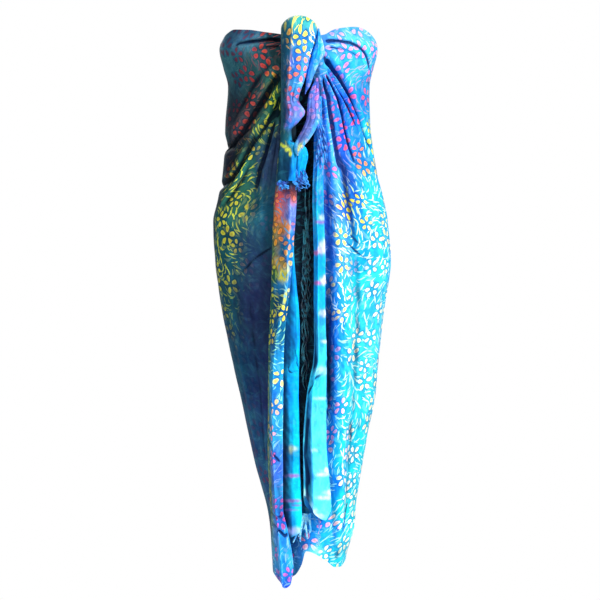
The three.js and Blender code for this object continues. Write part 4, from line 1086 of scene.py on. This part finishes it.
STRIP = chart(
    STATION,
    (-116, 12, 34.7, 39, 3, 0.5, 0, 2),
    (-119, -2, 31.5, 42, 5, 0.6, 0, 3),
    (-121, -18, 29, 47, 8, 0.6, 0, 4),
    (-122, -36, 23, 50, 9, 0.6, 0, 4),
    (-122, -54, 18.5, 40, 8, 0.6, 0, 4),
    (-122, -80, 12.5, 28, 6, 0.6, 0, 3),
    (-122, -102, 11, 20, 4, 0.6, 0, 2),
    (-122, -118, 9.6, 11.5, 1.5, 0.5, 0, 1),
)
BAND = chart(
    STATION,
    (-120.5, -86, 31, 36, 2, 0.5, 0, 2),
    (-122, -104, 23, 38, 7, 0.5, 0, 4),
    (-123.5, -128, 15.5, 39, 10, 0.5, 0, 5),
    (-124.5, -164, 13, 40, 12, 0.55, 0, 5),
    (-128, -187, 5, 32, 12, 0.55, 0, 5),
    (-134.5, -207, -6, 20, 8, 0.5, 0, 4),
    (-141, -222, -12, 8, 5, 0.5, 0, 2),
    (-145.5, -234, -10, 1, 2, 0.5, 0, 1),
    (-148, -241, -7, -4, 1, 0.5, 0, 0.5),
)
# Creases of a strip. Their paths are in hundredths of its width and of its length.
CORNER_CREASES = chart(
    CREASE,
    (2.4, 7, 12, 1, 0.5, 0.5, [(33, 24), (30, 34), (32, 46), (40, 58)]),
    (-1.6, 8, 9, 0.5, 1, 0.3, [(74, 22), (70, 34), (66, 50)]),
    (-1.2, 7, 7, 0.6, 1, 0.4, [(18, 26), (16, 46), (22, 66)]),
    (1.2, 9, 9, 0.5, 0.6, 0.2, [(58, 40), (56, 50), (66, 58)]),
    # the end's creases, gathered to its lower right corner
    (2.4, 8, 9, 0.8, 1, 0.6, [(40, 82), (54, 90), (76, 99)]),
    (-2.6, 6, 6, 0.8, 1, 0.6, [(62, 81), (68, 90), (80, 99)]),
    (2, 6, 6, 0.8, 1, 0.5, [(84, 82), (80, 90), (84, 99)]),
    (-2.2, 6, 6, 0.8, 1, 0.5, [(96, 82), (92, 90), (88, 99)]),
    (-1.8, 8, 9, 0.5, 1, 0.4, [(14, 84), (24, 91), (46, 99)]),
)
STRIP_CREASES = chart(
    CREASE,
    (1.8, 10, 12, 1, 0.6, 0.5, [(40, 8), (44, 50), (50, 90)]),
    (-1.6, 7, 8, 0.6, 1, 0.5, [(78, 14), (74, 60)]),
)
BAND_CREASES = chart(
    CREASE,
    (-1.4, 12, 10, 0.4, 1, 0.4, [(24, 10), (28, 40), (40, 78)]),
    (-2, 9, 12, 1, 0.3, 0.4, [(66, 6), (64, 30), (60, 50)]),
    (-1.6, 8, 10, 0.4, 1, 0.5, [(84, 34), (78, 56), (66, 80)]),
)

# Patches of dye on the strips, by share of the width and height.
CORNER_DYES = chart(
    PATCH,
    (0.5, 44, 0.5, 40, "#3ca49c", "#faf450", "#f4f070", 1.6),
    (0.65, -16, 0.35, 20, "#2888e4", "#f8f27c", "#f4f6a8", 1.4),
    (0.6, -60, 0.3, 20, "#3a7cf0", "#f8a07c", "#c8dcf8", 1.1),
    (0.6, -96, 0.3, 30, "#4494e0", "#f4686c", "#8cb8f4", 1.1),
    (0.8, -80, 0.1, 40, "#58b0f4", "#ee90b8", "#b8dcf8", 0.9),
    (0.6, -150, 0.3, 24, "#8498ec", "#d878c8", "#a898ec", 0.4),
    (0.75, -150, 0.1, 14, "#4a4ae0", "#b070dc", "#7c7cec", 0.2),
    (0.7, -176, 0.3, 8, "#2c8cec", "#a080e4", "#8cc8f4", 0.3),
    (0.6, -200, 0.4, 10, "#1f5c70", "#2a7080", "#2f7c82", 0.2),
    # painted shade: dark teal down the loop's left edge, which turns away from the light
    (0.06, -100, 0.18, 200, "#1f5064", "#2a7080", "#2f7c82", 0.2),
    (0.24, -16, 0.08, 44, "#2a7484", "#ee8a34", "#e8a050", 1.2),
    (0.33, -90, 0.04, 50, "#9c6c6c", "#c86a60", "#c8706a", 0.8),
    # the yellow line of print across the end, and the end's dark and bright halves
    (0.02, -218, 0.08, 2, "#dce43c", "#e8ec3c", "#e0e83c", 1, 6),
    (0.16, -222, 0.07, 2, "#d8e03c", "#e8ec3c", "#e0e83c", 1, 6),
    (0.3, -229, 0.06, 2.6, "#c8d440", "#e8ec3c", "#e0e83c", 1, 5),
    (0.4, -237, 0.03, 3, "#d4dc3c", "#e8ec3c", "#e0e83c", 1, 5),
    (0.15, -206, 0.3, 14, "#1d5a6c", "#2f7c8c", "#c8d84c", 0.5),
    (0.2, -262, 0.22, 26, "#083c54", "#2f7c8c", "#2f7c8c", 0, 2),
    (0.76, -258, 0.2, 34, "#06a4f2", "#bfe8ff", "#28b8f8", 0, 1.6),
)
STRIP_DYES = chart(
    PATCH,
    (0.6, -30, 0.5, 60, "#14a4f0", "#a8e0f8", "#80d0f8", 0.15),
    # painted shade down the strip's left edge, and a painted highlight, pale, high on its right edge
    (0.1, -60, 0.2, 60, "#0c74d8", "#4a8ce8", "#4aa0f0", 0.1),
    (0.95, -30, 0.15, 30, "#8cd0f8", "#f0ec9c", "#d8f0f8", 0.6),
    (0.6, -110, 0.5, 40, "#5a8cf0", "#d0a0e8", "#b0b8f4", 0.3),
)
BAND_DYES = chart(
    PATCH,
    (0.3, -110, 0.3, 40, "#5080d4", "#c88cd8", "#88a8e4", 0.5),
    (0.8, -120, 0.3, 40, "#7068c4", "#d878c4", "#a08cdc", 0.6),
    (0.4, -166, 0.3, 26, "#7074c0", "#b080c8", "#9898dc", 0.5),
    # painted shade: darker low on the band, where it passes under the loop
    (0.5, -204, 0.5, 22, "#505898", "#9474b0", "#686ea8", 0.4),
    (0.95, -176, 0.22, 40, "#44b4f4", "#c8c8f0", "#b8e0f8", 0.4),
    (0.6, -224, 0.14, 6, "#f0ec7c", "#f4ec6c", "#f0f08c", 1, 4),
    (0.15, -226, 0.25, 12, "#38b8e8", "#80d8f0", "#80d8f0", 0.3, 2),
    (0.9, -226, 0.2, 16, "#4ac0f4", "#f4ec6c", "#f0f08c", 0.4),
)


EDGE = 0.16  # the part of a strip's width that curls back, beyond each edge


def tie_strip(name, stations, creases, dyes, columns, rows):
    """A strip along its stations. Its edges curl back towards the cloth behind it."""
    u, v = np.meshgrid(np.linspace(-EDGE, 1 + EDGE, columns), np.linspace(0, 1, rows))
    numbered = [dict(station, i=i) for i, station in enumerate(stations)]
    where = v * (len(stations) - 1)
    column = {key: between(numbered, "i", where, key) for key in STATION.split()[2:]}
    centre = np.array([[[station["y"], station["z"]] for station in stations]])
    line = curve_through(centre, v[:, :1].T)[0]
    along = np.gradient(line, axis=0)
    along /= np.linalg.norm(along, axis=-1, keepdims=True)
    inside = np.clip(u, 0, 1)
    ridge = column["ridge"]
    shape = np.where(inside < ridge, inside / ridge, (1 - inside) / (1 - ridge))
    domed = (1 - (1 - np.clip(shape, 0, 1)) ** 2) ** 0.6
    rise = column["crown"] * domed - column["sunk"] * (1 - inside) ** 2
    over = np.abs(u - inside) / EDGE
    rise = rise - column["curl"] * smooth(over)
    tucked = (column["right"] - column["left"]) * 0.1 * over ** 2 * np.sign(inside - u)
    rise = rise + creased(creases, inside * 100, v * 100, 1)
    rise = rise + 0.4 * ripple(inside * 60, line[:, 1:2] + 0 * u, 22, 21)
    outward = np.stack([along[:, 1], -along[:, 0]], -1)[:, None]
    points = np.empty(u.shape + (3,))
    points[..., 0] = mix(column["left"], column["right"], inside) + tucked
    points[..., 1:] = line[:, None] + outward * rise[..., None]
    down = run_across(line[None])[0]
    own_print = 1500
    piece = cloth_mesh(name, points, run_across(points) + own_print, -down[:, None] + 0 * u)
    mark(piece.data, "share", inside)
    give_thickness(piece)
    dye_by_share(piece, dyes)
    return piece


TIES = [
    # name, stations, creases, dyes, columns, rows, flat, slot, CAD nodes
    ("tie_corner", CORNER, CORNER_CREASES, CORNER_DYES, 76, 250, (0.1, 0.4), "tie",
     ("tie_loop", "tie_end")),
    ("tie_strip", STRIP, STRIP_CREASES, STRIP_DYES, 36, 90, (0.03, 0.14), "tie", ("tie_strip",)),
    ("tie_band", BAND, BAND_CREASES, BAND_DYES, 44, 110, (0.045, 0.17), "tie_lilac", ("tie_band",)),
]
tie_finish = batik("knotted_rayon", 0.0365, 0.3)
for name, stations, creases, dyes, columns, rows, flat, slot, nodes in TIES:
    piece = tie_strip(name + "_cloth", stations, creases, dyes, columns, rows)
    piece.data.materials.append(tie_finish)
    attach(piece, "root")
    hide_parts(*nodes)

# ---- The fringe --------------------------------------------------------------------------------
# Both short ends are left unwoven and their yarns twisted in bundles, which curl. They show under the
# tie's end, at the head of the right fold, down the recess between the folds and at the hem.

def fringe(name, strands, ply, twist):
    """Twisted bundles of yarn. Each strand is a list of points, and two plies wind round it."""
    off_middle = ply * 0.8
    curve = bpy.data.curves.new(name, "CURVE")
    curve.dimensions = "3D"
    curve.bevel_depth = ply * MM
    curve.bevel_resolution = 1
    curve.use_fill_caps = True
    for points in strands:
        for half in (0, math.pi):
            spline = curve.splines.new("POLY")
            spline.points.add(len(points) - 1)
            for i, (point, knot) in enumerate(zip(points, spline.points)):
                turn = half + i * twist
                x, y, z = point
                x += off_middle * math.cos(turn)
                y += off_middle * math.sin(turn)
                knot.co = (x * MM, y * MM, z * MM, 1)
                thinned = max(0, i / len(points) - 0.7) / 0.3
                knot.radius = 1 - 0.45 * thinned
    piece = bpy.data.objects.new(name, curve)
    bpy.context.collection.objects.link(piece)
    pick(piece)
    bpy.ops.object.convert(target="MESH")
    bpy.ops.object.shade_smooth_by_angle(angle=math.radians(60))
    piece.select_set(False)
    return piece


def curling(draw, head, foot, curl, turns, count=40, flat=0.5):
    """The points of one strand from head to foot, which curls more the further it hangs."""
    phase = draw.uniform(0, math.tau)
    lean = draw.uniform(-1, 1)
    points = []
    for i in range(count):
        t = i / (count - 1)
        wind = phase + turns * math.tau * t
        swing = curl * min(1, t * 2.5) * (0.75 + 0.25 * math.sin(5 * t + phase))
        x = mix(head[0], foot[0], t) + swing * math.cos(wind) + lean * 2 * math.sin(math.pi * t)
        y = mix(head[1], foot[1], t) + swing * flat * math.sin(wind)
        z = mix(head[2], foot[2], t) + swing * 0.6 * math.sin(wind)
        points.append((x, y, z))
    return points


def yarn_finish(name, deep, bright):
    """Dyed rayon yarn, cloudy from a deep to a bright shade."""
    f = Finish(bpy.data.materials.new(name))
    place = f.node("TexCoord", output="Object")
    cloud = f.node("TexNoise", {}, {"Vector": place, "Scale": 110.0, "Detail": 3.0})
    return f.close({
        "Base Color": f.blend(cloud.soft_step(0.38, 0.62), (*rgb(deep), 1), (*rgb(bright), 1)),
        "Roughness": 0.38,
        "Sheen Weight": 0.2,
    })


bright_yarn = yarn_finish("bright_yarn", "#0c48b0", "#2ca4fc")
deep_yarn = yarn_finish("deep_yarn", "#0c2438", "#2c8494")
azure_yarn = yarn_finish("azure_yarn", "#0c50b4", "#2490ec")
pale_yarn = yarn_finish("pale_yarn", "#28acfc", "#a0ecff")
FRINGES = [
    # node, heads (x from, x to, y, z from, z to), feet, strands, ply, twist, curl, turns, finish
    ("fringe_tie_left", (-42, -24, -145, -286, -292), (-40, -24, -149, -302, -310),
     14, 0.95, 1.1, 6.0, 1.4, bright_yarn),
    ("fringe_tie_right", (-10, 14, -146, -268, -292), (-6, 16, -150, -292, -311),
     20, 0.95, 1.1, 5.6, 1.4, bright_yarn),
    ("fringe_tassels", (38, 48, -128, -180, -188), (27, 55, -137, -236, -256),
     6, 2.2, 0.3, 1.0, 0.4, azure_yarn),
    ("fringe_gap", (6, 20, -113, -304, -400), (7, 17, -101, -470, -730),
     9, 0.8, 1.1, 4.4, 6.5, deep_yarn),
    ("fringe_hem", (2, 22, -100, -952, -958), (-14, 24, -104, -986, -1018),
     8, 1.3, 1.1, 1.8, 0.8, pale_yarn),
]
for node, heads, feet, count, ply, twist, curl, turns, finish in FRINGES:
    draw = random.Random(node)
    strands = []
    for k in range(count):
        t = (k + 0.5) / count
        x, y = mix(heads[0], heads[1], t), heads[2] + draw.uniform(-1.5, 1.5)
        head = (x, y, draw.uniform(*heads[3:]))
        x, y = mix(feet[0], feet[1], t) + draw.uniform(-3, 3), feet[2] + draw.uniform(-2, 2)
        foot = (x, y, draw.uniform(*feet[3:]))
        strands.append(curling(draw, head, foot, curl * draw.uniform(0.6, 1.2), turns))
    piece = fringe(node + "_yarn", strands, ply, twist)
    piece.data.materials.append(finish)
    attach(piece, "root")
    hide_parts(node)

# ---- Floor and light ---------------------------------------------------------------------------
# A plain pale floor lies under the sarong, as far down as a wearer's feet, in a white studio. The
# light is soft, and comes mostly from the right and a little from above.

FLOOR_HEIGHT = -1.3
FLOOR_SIZE = 3.0
FLOOR_WHITE, FLOOR_GREY = (0.93, 0.93, 0.93, 1), (0.8, 0.8, 0.8, 1)
STUDIO_LIGHT, STUDIO_STRENGTH = (0.93, 0.96, 1.0, 1), 0.2
BACKDROP_WHITE = (1, 1, 1, 1)

bpy.ops.object.select_all(action="DESELECT")
bpy.ops.mesh.primitive_plane_add(size=FLOOR_SIZE, location=(0, 0, FLOOR_HEIGHT))
floor = bpy.context.object
floor.name = "floor"
pale = Finish(bpy.data.materials.new("pale_floor"))
cloudy = pale.node("TexNoise", {}, {"Scale": 3.0}) * 0.06
floor.data.materials.append(pale.close({
    "Base Color": pale.blend(cloudy, FLOOR_WHITE, FLOOR_GREY),
    "Roughness": 0.9,
}))

# The sarong is lit by a faint cool light from all round, and stands before plain white.
world = bpy.data.worlds.new("world")
studio = Finish(world)
all_round = studio.node("Background", {}, {"Color": STUDIO_LIGHT, "Strength": STUDIO_STRENGTH})
backdrop = studio.node("Background", {}, {"Color": BACKDROP_WHITE})
seen = studio.node("LightPath", output="Is Camera Ray")
either = studio.node("MixShader", {}, {0: seen, 1: all_round, 2: backdrop})
studio.tree.links.new(either.output, studio.tree.nodes.new("ShaderNodeOutputWorld").inputs["Surface"])
bpy.context.scene.world = world
bpy.context.scene.view_settings.view_transform = "Standard"

AIM = (0, 0, -0.5)
LAMPS = [
    # name, place, size, watts
    ("key", (3.0, -3.0, 2.4), 1.2, 330),
    ("front", (-1.6, -5.0, 1.6), 1.6, 60),
    ("behind", (-1.0, 4.0, 1.6), 2.5, 90),
]
for name, place, size, power in LAMPS:
    data = bpy.data.lights.new(name, "AREA")
    data.size = size
    data.energy = power
    light = bpy.data.objects.new(name, data)
    light.location = place
    x, y, z = (aim - start for aim, start in zip(AIM, place))
    tilt = math.pi / 2 + math.atan2(z, math.hypot(x, y))
    light.rotation_euler = (tilt, 0, math.atan2(y, x) - math.pi / 2)
    bpy.context.collection.objects.link(light)
